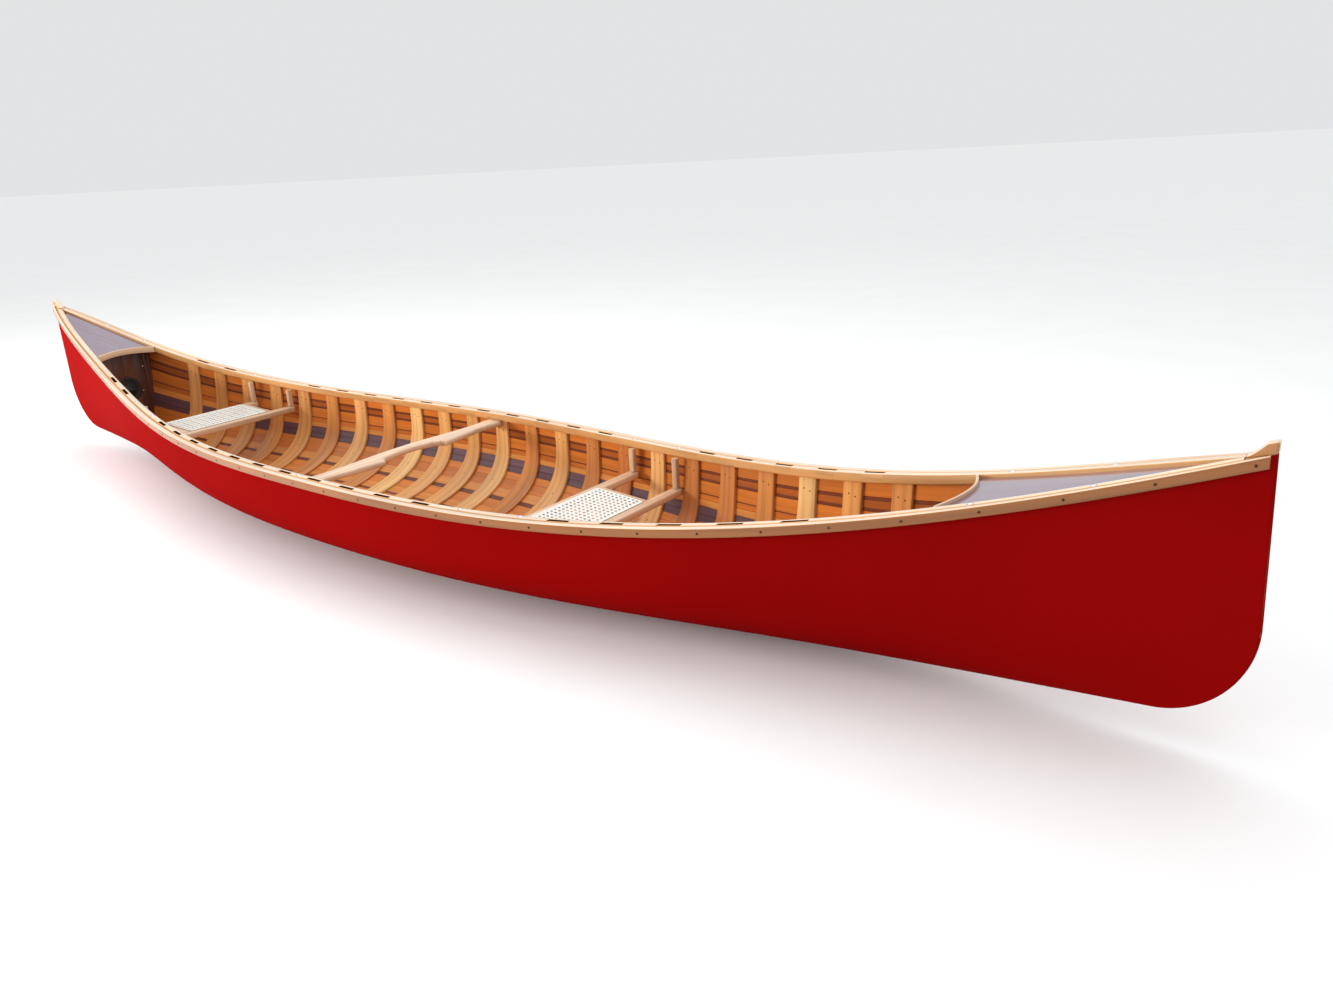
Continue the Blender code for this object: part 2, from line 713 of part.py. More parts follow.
def yoke_edges(y):
    """Aft and forward edge of the yoke at y."""
    out = abs(y)
    end = smooth((out - YOKE_END_START) / YOKE_END_RUN)
    half = (YOKE_ARM_WIDTH + (YOKE_END_WIDTH - YOKE_ARM_WIDTH) * end) / 2
    swell = YOKE_BOW * (1.0 - smooth(out / YOKE_END_START))
    if out < YOKE_SHOULDER:
        forward = half + YOKE_STEP - YOKE_NECK * math.sqrt(1.0 - (out / YOKE_SHOULDER) ** 2)
    else:
        forward = half + YOKE_STEP * max(0.0, 1.0 - (out - YOKE_SHOULDER) / YOKE_TAPER)
    return YOKE_X - half - swell, YOKE_X + forward


def build_yoke():
    rib_face = sheet(ALL_ROWS[:-1], SKIN + GAP + PLANK + RIB_GAP + RIB_THICK)
    top = sheer_height(0.0) - GUNWALE_HIGH - GAP
    bottom = top - YOKE_THICK
    reach = breadth_at(rib_face, 0.0, bottom) - YOKE_TIP_GAP
    rings = []
    for step in range(YOKE_STEPS + 1):
        y = -reach + 2 * reach * step / YOKE_STEPS
        aft, forward = yoke_edges(y)
        rings.append([(forward, y, top), (aft, y, top), (aft, y, bottom), (forward, y, bottom)])
    vertices, faces = loft(rings)
    new_object("yoke", vertices, faces, "seat")


def hanger_y(x, top):
    """Centre of a hanger: as far out as the planking lets it hang straight."""
    plank_face = sheet(ALL_ROWS, SKIN + GAP + PLANK + RIB_GAP)
    room = min(breadth_at(plank_face, x + side * RAIL_WIDE / 2, top - RAIL_DEEP) for side in (-1, 1))
    return room - HANGER / 2 - HANGER_INSET


def build_seat(end):
    number = 0
    for x, top in zip(SEAT_RAIL_X[end], SEAT_TOP[end]):
        y = hanger_y(x, top)
        underside = sheer_height(x) - GUNWALE_HIGH - HANGER_TOP_GAP
        for side in (-1, 1):
            number += 1
            vertices, faces = box((x - HANGER / 2, side * y - HANGER / 2, top + HANGER_GAP),
                                  (x + HANGER / 2, side * y + HANGER / 2, underside))
            new_object(f"{end}_seat_hanger_{number}", vertices, faces, "seat")
    build_seat_frame(end)


def build_seat_frame(end):
    """Two cross rails and two side rails round an open panel, canted a little towards the bow."""
    low_x, high_x = SEAT_RAIL_X[end]
    low_top, high_top = SEAT_TOP[end]
    middle = np.array(((low_x + high_x) / 2, 0.0, (low_top + high_top) / 2))
    cant = math.atan2(low_top - high_top, high_x - low_x)
    reach = (high_x - low_x) / 2 / math.cos(cant)
    half = RAIL_WIDE / 2
    aft_tip = hanger_y(low_x, low_top) + HANGER / 2 + RAIL_OVERHANG
    fore_tip = hanger_y(high_x, high_top) + HANGER / 2 + RAIL_OVERHANG
    quarter = [(-reach - half, aft_tip), (-reach + half, aft_tip), (-reach + half, SEAT_HALF_WIDTH),
               (reach - half, SEAT_HALF_WIDTH), (reach - half, fore_tip), (reach + half, fore_tip)]
    corners = quarter + [(x, -y) for x, y in reversed(quarter)]
    inner_x, inner_y = reach - half, SEAT_HALF_WIDTH - SIDE_RAIL_WIDE
    hole = [(-inner_x, -inner_y), (inner_x, -inner_y), (inner_x, inner_y), (-inner_x, inner_y)]
    outline = bpy.data.curves.new(f"{end}_seat_frame_outline", "CURVE")
    outline.dimensions = "2D"
    outline.fill_mode = "BOTH"
    outline.extrude = RAIL_DEEP / 2
    for points in (corners, hole):
        spline = outline.splines.new("POLY")
        spline.points.add(len(points) - 1)
        for point, (x, y) in zip(spline.points, points):
            point.co = (x, y, -RAIL_DEEP / 2, 1.0)
        spline.use_cyclic_u = True
    curve = bpy.data.objects.new(f"{end}_seat_frame_curve", outline)
    curve.location = middle
    curve.rotation_euler = (0.0, cant, 0.0)
    cutters.objects.link(curve)
    bpy.context.view_layer.update()
    frame = curve_to_mesh(curve, f"{end}_seat_frame")
    frame.data.materials.clear()
    frame.data.materials.append(make_material("seat"))
    vertices, faces = box((-inner_x - CANE_LAP, -inner_y - CANE_LAP, GAP),
                          (inner_x + CANE_LAP, inner_y + CANE_LAP, GAP + CANE_THICK))
    cane = new_object(f"{end}_seat_cane", vertices, faces, "cane")
    cane.location = middle
    cane.rotation_euler = (0.0, cant, 0.0)


def curve_to_mesh(curve, name):
    """A closed mesh object from a filled curve, in the curve's place."""
    graph = bpy.context.evaluated_depsgraph_get()
    mesh = bpy.data.meshes.new_from_object(curve.evaluated_get(graph))
    mesh.name = name
    work = bmesh.new()
    work.from_mesh(mesh)
    bmesh.ops.remove_doubles(work, verts=work.verts, dist=WELD)
    bmesh.ops.recalc_face_normals(work, faces=work.faces)
    work.to_mesh(mesh)
    work.free()
    part = bpy.data.objects.new(name, mesh)
    part.matrix_world = curve.matrix_world.copy()
    parts.objects.link(part)
    bpy.data.objects.remove(curve)
    return part


# ---------------------------------------------------------------- the whole canoe
for leftover in list(bpy.data.objects):
    bpy.data.objects.remove(leftover)

parts = bpy.data.collections.new("canoe")
cutters = bpy.data.collections.new("canoe_cutters")
for collection in (parts, cutters):
    bpy.context.scene.collection.children.link(collection)

sheer_lines_inside = sheer_lines(inwale_face())
INWALE_END = END_BASE + END_SHARES[-2] * (HALF_LENGTH - END_BASE)

build_skin()
build_planking()
build_ribs()
build_outwales()
build_inwales()
build_yoke()
for end, sign in (("bow", 1), ("stern", -1)):
    build_stem(end, sign)
    build_stem_head(end, sign)
    build_deck(end, sign)
    build_coaming(end, sign)
    build_bulkhead(end, sign)
    build_hatch(end, sign)
    build_seat(end)
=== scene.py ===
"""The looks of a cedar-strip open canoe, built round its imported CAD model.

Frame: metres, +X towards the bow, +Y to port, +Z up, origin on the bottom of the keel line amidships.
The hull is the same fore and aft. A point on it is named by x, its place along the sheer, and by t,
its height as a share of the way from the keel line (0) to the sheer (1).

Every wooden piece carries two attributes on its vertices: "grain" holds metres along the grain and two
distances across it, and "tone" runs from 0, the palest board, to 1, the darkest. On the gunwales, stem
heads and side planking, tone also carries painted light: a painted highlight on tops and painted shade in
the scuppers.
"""

import math
import random

import bmesh
import bpy
import numpy as np
from mathutils import Matrix, Vector

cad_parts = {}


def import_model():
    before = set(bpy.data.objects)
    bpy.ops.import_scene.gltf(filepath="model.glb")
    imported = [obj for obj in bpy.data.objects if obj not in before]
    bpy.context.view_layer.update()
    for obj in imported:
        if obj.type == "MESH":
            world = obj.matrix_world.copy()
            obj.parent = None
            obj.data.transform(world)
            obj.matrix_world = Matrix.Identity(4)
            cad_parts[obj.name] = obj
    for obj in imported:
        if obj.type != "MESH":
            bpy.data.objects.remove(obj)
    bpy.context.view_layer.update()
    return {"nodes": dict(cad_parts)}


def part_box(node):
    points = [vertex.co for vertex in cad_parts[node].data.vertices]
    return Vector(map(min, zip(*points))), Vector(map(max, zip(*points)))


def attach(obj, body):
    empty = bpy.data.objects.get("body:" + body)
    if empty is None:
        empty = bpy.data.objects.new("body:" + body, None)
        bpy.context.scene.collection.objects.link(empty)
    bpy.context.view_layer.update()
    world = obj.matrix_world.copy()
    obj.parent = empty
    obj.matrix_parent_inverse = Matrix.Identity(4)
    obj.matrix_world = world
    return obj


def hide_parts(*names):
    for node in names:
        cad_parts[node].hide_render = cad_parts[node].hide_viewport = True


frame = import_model()
dice = random.Random(16)

# ---------------------------------------------------------------- the lines of the hull (metres)
PITCH = 0.1524
HALF_LENGTH = 2.4696
STEM_BULGE = 0.0304
FOREFOOT_LENGTH = 0.179
FOREFOOT_HEIGHT = 0.3714
ROCKER = 0.0914
ROCKER_POWER = 2.5
FLAT_KEEL = 0.06
KEEL_HALF = 0.008
OFFSET_STATIONS = (0.0, 0.2, 0.4, 0.55, 0.7, 0.82, 0.92, 1.0)
HALF_BREADTHS = (0.447, 0.426, 0.359, 0.283, 0.198, 0.138, 0.077, 0.018)
SHEER_HEIGHTS = (0.323, 0.322, 0.338, 0.374, 0.438, 0.511, 0.583, 0.644)
FAIR_POWERS = np.array((0, 2, 3, 4, 5, 6))
TOPSIDE_POWER = 4.04
FLOOR_POWER = 2.08
SECTION_FINENESS = 0.30

SKIN = 0.0015
PLANK_OUT = 0.0018
PLANK_IN = 0.0078
RIB_IN = 0.0172
RIB_WIDTH = 0.060
RIB_SWELL = 0.016
RIB_TAPER_LOW = 0.23
RIB_TAPER_HIGH = 0.68
RIBS_EACH_WAY = 11
GUNWALE_HIGH = 0.025
GUNWALE_THICK = 0.020
OUTWALE_TIP = 0.010
OUTWALE_SHORT = 0.011
RIB_DROP = 0.0255
INWALE_OUT = 0.0080
BULKHEAD_X = 12.72 * PITCH
BULKHEAD_THICK = 0.009
END_BASE = BULKHEAD_X + BULKHEAD_THICK
INWALE_END = END_BASE + 0.905 * (HALF_LENGTH - END_BASE)
HULL = "hull"
SIDES = (("port", 1), ("starboard", -1))


def unit(vectors):
    """Vectors scaled to length 1."""
    return vectors / np.linalg.norm(vectors, axis=-1, keepdims=True)


def run_along(path):
    """Distance along a path to each of its points."""
    return np.concatenate([[0.0], np.cumsum(np.linalg.norm(np.diff(path, axis=0), axis=1))])


def grain_of(along, across, deep):
    """Grain of a bar: metres along it, across it and through it."""
    return np.stack(np.broadcast_arrays(along, across, deep), axis=-1)


def fair_curve(offsets):
    """Smooth curve, level amidships, through a row of the table of offsets."""
    basis = np.array(OFFSET_STATIONS)[:, None] ** FAIR_POWERS
    weights = np.linalg.lstsq(basis, np.array(offsets), rcond=None)[0]

    def value(x):
        share = np.minimum(np.abs(x) / HALF_LENGTH, 1.0)
        return (np.asarray(share)[..., None] ** FAIR_POWERS) @ weights

    return value


half_breadth = fair_curve(HALF_BREADTHS)
sheer_height = fair_curve(SHEER_HEIGHTS)


def outwale_thickness(x):
    share = np.clip((np.abs(x) / HALF_LENGTH - 0.6) / 0.4, 0.0, 1.0)
    return GUNWALE_THICK + (OUTWALE_TIP - GUNWALE_THICK) * share


def hull_breadth(x):
    return half_breadth(x) - outwale_thickness(x)


def keel_height(x):
    share = np.maximum(0.0, (np.abs(x) / HALF_LENGTH - FLAT_KEEL) / (1.0 - FLAT_KEEL))
    return ROCKER * share ** ROCKER_POWER


def stem_x(t):
    rise = 1.0 - np.minimum(t / FOREFOOT_HEIGHT, 1.0)
    return HALF_LENGTH + STEM_BULGE * (1.0 - t) - FOREFOOT_LENGTH * (1.0 - np.sqrt(1.0 - rise ** 2))


def hull_point(x, t):
    """Outer surface of the port side. Past the bulkheads, x leans with the stem."""
    x, t = np.broadcast_arrays(np.asarray(x, float), np.asarray(t, float))
    place, tip = np.abs(x), stem_x(t)
    past = np.clip((place - END_BASE) / (HALF_LENGTH - END_BASE), 0.0, 1.0)
    place = np.where(past > 0.0, END_BASE + past * (tip - END_BASE), place)
    share = np.minimum(place / tip, 1.0)
    middle = hull_breadth(0.0) - KEEL_HALF
    fineness = np.maximum(hull_breadth(share * HALF_LENGTH) - KEEL_HALF, 0.0) / middle
    section = (1.0 - (1.0 - t) ** TOPSIDE_POWER) ** (1.0 / FLOOR_POWER)
    y = KEEL_HALF + middle * section * fineness ** (1.0 + SECTION_FINENESS * (1.0 - t))
    z = keel_height(place) + t * (sheer_height(place) - keel_height(place))
    return np.stack([np.where(x < 0, -place, place), y, z], axis=-1)


def hull_normal(x, t):
    """Outward normal of the port side, by differences."""
    x, t = np.broadcast_arrays(np.asarray(x, float), np.asarray(t, float))
    step, rise = 0.002, 0.0005
    aft = hull_point(np.maximum(x - step, -HALF_LENGTH), t)
    fore = hull_point(np.minimum(x + step, HALF_LENGTH), t)
    low = hull_point(x, np.maximum(t - rise, 0.0))
    high = hull_point(x, np.minimum(t + rise, 1.0))
    return unit(np.cross(high - low, fore - aft))


def rib_top(x):
    """t of the underside of the inwale."""
    return 1.0 - RIB_DROP / (sheer_height(x) - keel_height(x))


# Distance round the section amidships, which turns widths of boards into shares of the height.
section_t = np.linspace(0.0, 1.0, 2001) ** FLOOR_POWER
section_points = hull_point(0.0, section_t)[:, 1:]
section_girth = run_along(section_points) + KEEL_HALF


def girth_at(t):
    return np.interp(t, section_t, section_girth)


def t_at_girth(girth):
    return np.interp(girth, section_girth, section_t)


# ---------------------------------------------------------------- meshes
class Shape:
    """Vertices and faces of one piece, with the grain and the tone of each vertex."""

    def __init__(self):
        self.points, self.faces, self.grain, self.tone = [], [], [], []
        self.count = 0

    def add(self, points, faces, grain=None, tone=0.5):
        points = np.asarray(points, float).reshape(-1, 3)
        grain = points if grain is None else np.asarray(grain, float).reshape(-1, 3)
        self.points.append(points)
        self.faces += [tuple(index + self.count for index in face) for face in faces]
        self.grain.append(grain)
        self.tone.append(np.broadcast_to(np.asarray(tone, float), len(points)))
        self.count += len(points)

    def flipped(self, signs):
        """A copy turned over in the axes whose sign is -1."""
        copy = Shape()
        turn = np.prod(signs) < 0
        copy.points = [points * np.array(signs, float) for points in self.points]
        copy.faces = [face[::-1] for face in self.faces] if turn else list(self.faces)
        copy.grain, copy.tone, copy.count = list(self.grain), list(self.tone), self.count
        return copy

    def join(self, other):
        self.faces += [tuple(index + self.count for index in face) for face in other.faces]
        self.points += other.points
        self.grain += other.grain
        self.tone += other.tone
        self.count += other.count


def seeded(grain, seed):
    """Grain of one board moved to its own part of the log."""
    return np.asarray(grain, float) + np.array((seed * 7.3, 0.0, seed * 1.9))


def tube_faces(rings, around, caps=True):
    """Faces of a run of rings, each of the same number of points."""
    faces = []
    for i in range(rings - 1):
        for j in range(around):
            k = (j + 1) % around
            faces.append((i * around + j, (i + 1) * around + j, (i + 1) * around + k, i * around + k))
    if caps:
        last = (rings - 1) * around
        faces.append(tuple(range(around)))
        faces.append(tuple(range(last + around - 1, last - 1, -1)))
    return faces


def sweep(shape, rings, grain, tone=0.5):
    """Solid bar through rings, an array of (ring, point, xyz)."""
    rings = np.asarray(rings, float)
    shape.add(rings, tube_faces(len(rings), rings.shape[1]), grain, tone)


def round_rectangle(wide, high, radius, steps=3):
    """Outline of (a, b) points from -wide/2 to wide/2 and -high/2 to high/2, anticlockwise."""
    radii = radius if isinstance(radius, (tuple, list)) else (radius,) * 4
    corners = ((1, 1, 0.0), (-1, 1, 90.0), (-1, -1, 180.0), (1, -1, 270.0))
    outline = []
    for (sign_a, sign_b, start), corner in zip(corners, radii):
        centre = np.array((sign_a * (wide / 2 - corner), sign_b * (high / 2 - corner)))
        for step in range(steps + 1):
            angle = math.radians(start + 90.0 * step / steps)
            outline.append(centre + corner * np.array((math.cos(angle), math.sin(angle))))
    return np.array(outline)


def bar(shape, start, end, wide, high, radius, tone=0.5, seed=0.0, up=(0, 0, 1), end_radius=0.0, steps=3):
    """Straight bar with rounded edges between two points; end_radius rounds its ends in plan."""
    start, end, up = (np.array(v, float) for v in (start, end, up))
    along = end - start
    length = np.linalg.norm(along)
    along = along / length
    side = np.cross(up, along)
    side = side / np.linalg.norm(side)
    top = np.cross(along, side)
    cuts = [(0.0, 0.0)]
    if end_radius > 0.0:
        cuts = [(end_radius * (1 - math.cos(angle)), end_radius * (1 - math.sin(angle)))
                for angle in np.linspace(0.0, math.pi / 2, 6)]
    places = [(s, shrink) for s, shrink in cuts] + [(length - s, shrink) for s, shrink in reversed(cuts)]
    rings, grain = [], []
    for s, shrink in places:
        corner = min(radius, 0.05 * wide + radius * (1 - shrink / (radius + shrink + 1e-9)))
        outline = round_rectangle(max(wide - 2 * shrink, 0.1 * wide), max(high - 2 * shrink, 0.1 * high),
                                  corner, steps)
        rings.append([start + along * s + side * a + top * b for a, b in outline])
        grain.append([(s, a, b) for a, b in outline])
    sweep(shape, rings, seeded(np.array(grain), seed), tone)


def tidy_mesh(mesh, weld=False):
    """Faces point outwards; weld joins vertices that lie on each other."""
    work = bmesh.new()
    work.from_mesh(mesh)
    if weld:
        bmesh.ops.remove_doubles(work, verts=work.verts, dist=0.000002)
    bmesh.ops.recalc_face_normals(work, faces=work.faces)
    work.to_mesh(mesh)
    work.free()


def make(name, shape, material, slot, nodes=(), body=HULL, angle=35.0, weld=False):
    """Object from a shape: shaded smooth except at sharp edges, riding on its body."""
    mesh = bpy.data.meshes.new(name)
    points = np.concatenate(shape.points)
    mesh.from_pydata([tuple(point) for point in points], [], shape.faces)
    grain = mesh.attributes.new("grain", "FLOAT_VECTOR", "POINT")
    grain.data.foreach_set("vector", np.concatenate(shape.grain).astype(np.float32).ravel())
    tone = mesh.attributes.new("tone", "FLOAT", "POINT")
    tone.data.foreach_set("value", np.concatenate(shape.tone).astype(np.float32))
    tidy_mesh(mesh, weld)
    return place(name, mesh, material, slot, nodes, body, angle)


def place(name, mesh, material, slot, nodes=(), body=HULL, angle=35.0):
    mesh.materials.clear()
    mesh.materials.append(material)
    mesh.shade_smooth()
    mesh.set_sharp_from_angle(angle=math.radians(angle))
    piece = bpy.data.objects.new(name, mesh)
    bpy.context.scene.collection.objects.link(piece)
    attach(piece, body)
    if nodes:
        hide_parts(*nodes)
    return piece


# ---------------------------------------------------------------- materials
def principled(name):
    material = bpy.data.materials.new(name)
    material.use_nodes = True
    nodes, links = material.node_tree.nodes, material.node_tree.links
    return material, nodes, links, nodes["Principled BSDF"]


def noise(nodes, links, vector, scale, detail=4.0, roughness=0.55):
    node = nodes.new("ShaderNodeTexNoise")
    node.inputs["Scale"].default_value = scale
    node.inputs["Detail"].default_value = detail
    node.inputs["Roughness"].default_value = roughness
    links.new(vector, node.inputs["Vector"])
    return node.outputs["Fac"]


def scaled(nodes, links, vector, factors):
    node = nodes.new("ShaderNodeVectorMath")
    node.operation = "MULTIPLY"
    node.inputs[1].default_value = factors
    links.new(vector, node.inputs[0])
    return node.outputs["Vector"]


def ramp(nodes, links, value, stops):
    """Colour ramp; stops are (place, colour or grey)."""
    node = nodes.new("ShaderNodeValToRGB")
    elements = node.color_ramp.elements
    while len(elements) < len(stops):
        elements.new(0.5)
    for element, (position, colour) in zip(elements, stops):
        element.position = position
        grey = not isinstance(colour, tuple)
        element.color = (colour, colour, colour, 1.0) if grey else (*colour, 1.0)
    links.new(value, node.inputs["Fac"])
    return node.outputs["Color"]


def mixed(nodes, links, kind, factor, first, second):
    node = nodes.new("ShaderNodeMix")
    node.data_type = "RGBA"
    node.blend_type = kind
    if isinstance(factor, float):
        node.inputs[0].default_value = factor
    else:
        links.new(factor, node.inputs[0])
    links.new(first, node.inputs[6])
    links.new(second, node.inputs[7])
    return node.outputs[2]


def ranged(nodes, links, value, low, high):
    node = nodes.new("ShaderNodeMapRange")
    node.inputs["To Min"].default_value = low
    node.inputs["To Max"].default_value = high
    links.new(value, node.inputs["Value"])
    return node.outputs["Result"]


def stored(nodes, name):
    """Node that reads one of the attributes on the vertices."""
    node = nodes.new("ShaderNodeAttribute")
    node.attribute_name = name
    return node


def object_place(nodes):
    return nodes.new("ShaderNodeTexCoord").outputs["Object"]


def bumped(nodes, links, shader, height, strength, distance):
    node = nodes.new("ShaderNodeBump")
    node.inputs["Strength"].default_value = strength
    node.inputs["Distance"].default_value = distance
    links.new(height, node.inputs["Height"])
    links.new(node.outputs["Normal"], shader.inputs["Normal"])


def wood(name, tones, figure=0.5, fibre=0.35, rings=26.0, rough=(0.34, 0.50), coat=0.08, attribute=True):
    """Varnished wood: tones is a ramp from pale to dark, figure and fibre the strength of its markings."""
    material, nodes, links, shader = principled(name)
    if attribute:
        grain = stored(nodes, "grain").outputs["Vector"]
        tone = stored(nodes, "tone").outputs["Fac"]
    else:
        grain = object_place(nodes)
        tone = noise(nodes, links, grain, 1.3, 1.0)
    base = ramp(nodes, links, tone, tones)
    wave = nodes.new("ShaderNodeTexWave")
    wave.wave_type = "BANDS"
    wave.bands_direction = "DIAGONAL"
    wave.inputs["Scale"].default_value = 1.0
    wave.inputs["Distortion"].default_value = 7.0
    wave.inputs["Detail"].default_value = 2.5
    wave.inputs["Detail Scale"].default_value = 0.8
    links.new(scaled(nodes, links, grain, (0.55, rings, rings * 0.6)), wave.inputs["Vector"])
    growth = ramp(nodes, links, wave.outputs["Fac"], ((0.0, 0.50), (0.35, 0.86), (1.0, 1.0)))
    streaks = noise(nodes, links, scaled(nodes, links, grain, (3.5, 260.0, 260.0)), 1.0, 5.0, 0.65)
    fibres = ramp(nodes, links, streaks, ((0.28, 0.55), (0.55, 0.95), (0.75, 1.15)))
    blotch = noise(nodes, links, scaled(nodes, links, grain, (1.6, 14.0, 14.0)), 1.0, 2.0, 0.5)
    clouds = ramp(nodes, links, blotch, ((0.25, 0.74), (0.75, 1.18)))
    colour = mixed(nodes, links, "MULTIPLY", figure, base, growth)
    colour = mixed(nodes, links, "MULTIPLY", fibre, colour, fibres)
    colour = mixed(nodes, links, "MULTIPLY", 0.8, colour, clouds)
    links.new(colour, shader.inputs["Base Color"])
    links.new(ranged(nodes, links, streaks, *rough), shader.inputs["Roughness"])
    shader.inputs["Coat Weight"].default_value = coat
    shader.inputs["Coat Roughness"].default_value = 0.10
    bumped(nodes, links, shader, streaks, 0.25, 0.0004)
    return material


CEDAR_TONES = ((0.0, (0.80, 0.40, 0.11)), (0.3, (0.64, 0.20, 0.030)), (0.55, (0.50, 0.125, 0.015)),
               (0.8, (0.20, 0.045, 0.012)), (1.0, (0.08, 0.018, 0.009)))
RIB_TONES = ((0.0, (0.84, 0.52, 0.21)), (0.5, (0.68, 0.29, 0.08)), (1.0, (0.48, 0.14, 0.035)))
WALNUT_TONES = ((0.0, (0.17, 0.085, 0.105)), (1.0, (0.055, 0.020, 0.026)))
# The darkest ash stop, at 1.0, colours the painted shade on the scupper walls.
ASH_TONES = ((0.0, (0.86, 0.67, 0.50)), (0.45, (0.64, 0.34, 0.13)), (0.85, (0.34, 0.115, 0.020)),
             (1.0, (0.05, 0.016, 0.007)))
SEAT_TONES = ((0.0, (0.80, 0.56, 0.38)), (1.0, (0.60, 0.34, 0.18)))
DECK_TONES = ((0.0, (0.24, 0.14, 0.22)), (1.0, (0.12, 0.06, 0.10)))
STAVE_TONES = ((0.0, (0.17, 0.060, 0.032)), (1.0, (0.055, 0.018, 0.011)))

cedar = wood("varnished_cedar", CEDAR_TONES, 0.20, 0.40, 34.0)
rib_wood = wood("varnished_rib", RIB_TONES, 0.40, 0.35, 22.0)
walnut = wood("varnished_walnut", WALNUT_TONES, 0.45, 0.6, 30.0, coat=0.4)
ash = wood("varnished_ash", ASH_TONES, 0.35, 0.35, 24.0, (0.28, 0.42), 0.35)
seat_wood = wood("varnished_seat", SEAT_TONES, 0.35, 0.35, 24.0, (0.28, 0.42), 0.35)
deck_wood = wood("varnished_deck", DECK_TONES, 0.5, 0.5, 28.0, (0.12, 0.25), 1.0)
stave_wood = wood("varnished_stave", STAVE_TONES, 0.5, 0.6, 34.0)
hidden_wood = wood("stem_wood", ASH_TONES, 0.35, 0.35, 24.0, attribute=False)


PAINT_TONES = ((0.3, (0.205, 0.0010, 0.0008)), (0.7, (0.235, 0.0012, 0.0010)))


def paint():
    """Deep gloss red over glass cloth, with a faint orange peel."""
    material, nodes, links, shader = principled("red_gloss_paint")
    patches = noise(nodes, links, object_place(nodes), 1.4, 2.0)
    links.new(ramp(nodes, links, patches, PAINT_TONES), shader.inputs["Base Color"])
    peel = noise(nodes, links, object_place(nodes), 240.0, 2.0)
    bumped(nodes, links, shader, peel, 0.05, 0.0004)
    shader.inputs["Roughness"].default_value = 0.38
    shader.inputs["Specular IOR Level"].default_value = 0.0
    shader.inputs["Coat Weight"].default_value = 0.03
    shader.inputs["Coat Roughness"].default_value = 0.15
    return material


def metal(name, colour, roughness, worn):
    """Screw and bolt metal; worn is how far its roughness and colour vary."""
    material, nodes, links, shader = principled(name)
    stains = noise(nodes, links, object_place(nodes), 420.0, 3.0)
    dark = tuple(channel * (1.0 - worn) for channel in colour)
    links.new(ramp(nodes, links, stains, ((0.3, dark), (0.7, colour))), shader.inputs["Base Color"])
    links.new(ranged(nodes, links, stains, roughness, roughness + 0.5 * worn), shader.inputs["Roughness"])
    shader.inputs["Metallic"].default_value = 1.0
    return material


def moulded():
    material, nodes, links, shader = principled("black_moulded_plastic")
    pebble = noise(nodes, links, object_place(nodes), 900.0, 3.0)
    links.new(ramp(nodes, links, pebble, ((0.2, 0.010), (0.8, 0.022))), shader.inputs["Base Color"])
    bumped(nodes, links, shader, pebble, 0.25, 0.0002)
    shader.inputs["Roughness"].default_value = 0.42
    return material


def strand_cane():
    """White cane: glossy skin with fine fibres along each strand."""
    material, nodes, links, shader = principled("woven_cane")
    along = scaled(nodes, links, stored(nodes, "grain").outputs["Vector"], (30.0, 2200.0, 900.0))
    fibres = noise(nodes, links, along, 1.0, 3.0)
    colour = ramp(nodes, links, fibres, ((0.3, (0.70, 0.71, 0.64)), (0.6, (0.84, 0.86, 0.82))))
    links.new(colour, shader.inputs["Base Color"])
    bumped(nodes, links, shader, fibres, 0.3, 0.0002)
    shader.inputs["Roughness"].default_value = 0.38
    shader.inputs["Coat Weight"].default_value = 0.25
    return material


red_paint = paint()
bronze = metal("dark_bronze", (0.16, 0.07, 0.035), 0.38, 0.5)
steel = metal("bright_steel", (0.78, 0.79, 0.80), 0.16, 0.25)
plastic = moulded()
cane = strand_cane()


# ---------------------------------------------------------------- hull
def spread(limit, step):
    """Evenly spaced x from -limit to limit."""
    return np.linspace(-limit, limit, 2 * int(math.ceil(limit / step)) + 1)


GIRTH = float(section_girth[-1])


def shell(x, girth, inset):
    """Port side at a distance from the centreline measured round the section amidships."""
    girth = np.asarray(girth, float)
    x, girth, inset = np.broadcast_arrays(x, girth, inset)
    t = t_at_girth(np.maximum(girth, KEEL_HALF))
    normal = hull_normal(x, t)
    upright = np.clip((t - 0.80) / 0.15, 0.0, 1.0)
    normal[..., 2] *= 1.0 - upright
    points = hull_point(x, t) - unit(normal) * inset[..., None]
    points[..., 1] *= np.minimum(girth / KEEL_HALF, 1.0)
    return points


def grid_faces(wide, high, start=0):
    return [(start + i * high + j, start + i * high + j + 1, start + (i + 1) * high + j + 1,
             start + (i + 1) * high + j) for i in range(wide - 1) for j in range(high - 1)]


def border_faces(wide, high, shift, edges):
    """Faces that join the borders of two grids, the second one shift vertices after the first."""
    loops = {
        "last_row": [i * high + high - 1 for i in range(wide)],
        "first_row": [i * high for i in range(wide)],
        "last_column": [(wide - 1) * high + j for j in range(high)],
        "first_column": list(range(high)),
    }
    faces = []
    for edge in edges:
        line = loops[edge]
        faces += [(a, b, b + shift, a + shift) for a, b in zip(line, line[1:])]
    return faces


ALL_EDGES = ("last_row", "first_row", "last_column", "first_column")


def slab(shape, outer, inner, edges=ALL_EDGES, grain=None, tone=0.5):
    wide, high = outer.shape[:2]
    shift = wide * high
    faces = grid_faces(wide, high)
    faces += [face[::-1] for face in grid_faces(wide, high, shift)]
    faces += border_faces(wide, high, shift, edges)
    points = np.concatenate([outer.reshape(-1, 3), inner.reshape(-1, 3)])
    shape.add(points, faces, grain, tone)


NOSE = 0.007
PAINT_BELOW_SHEER = 0.0012


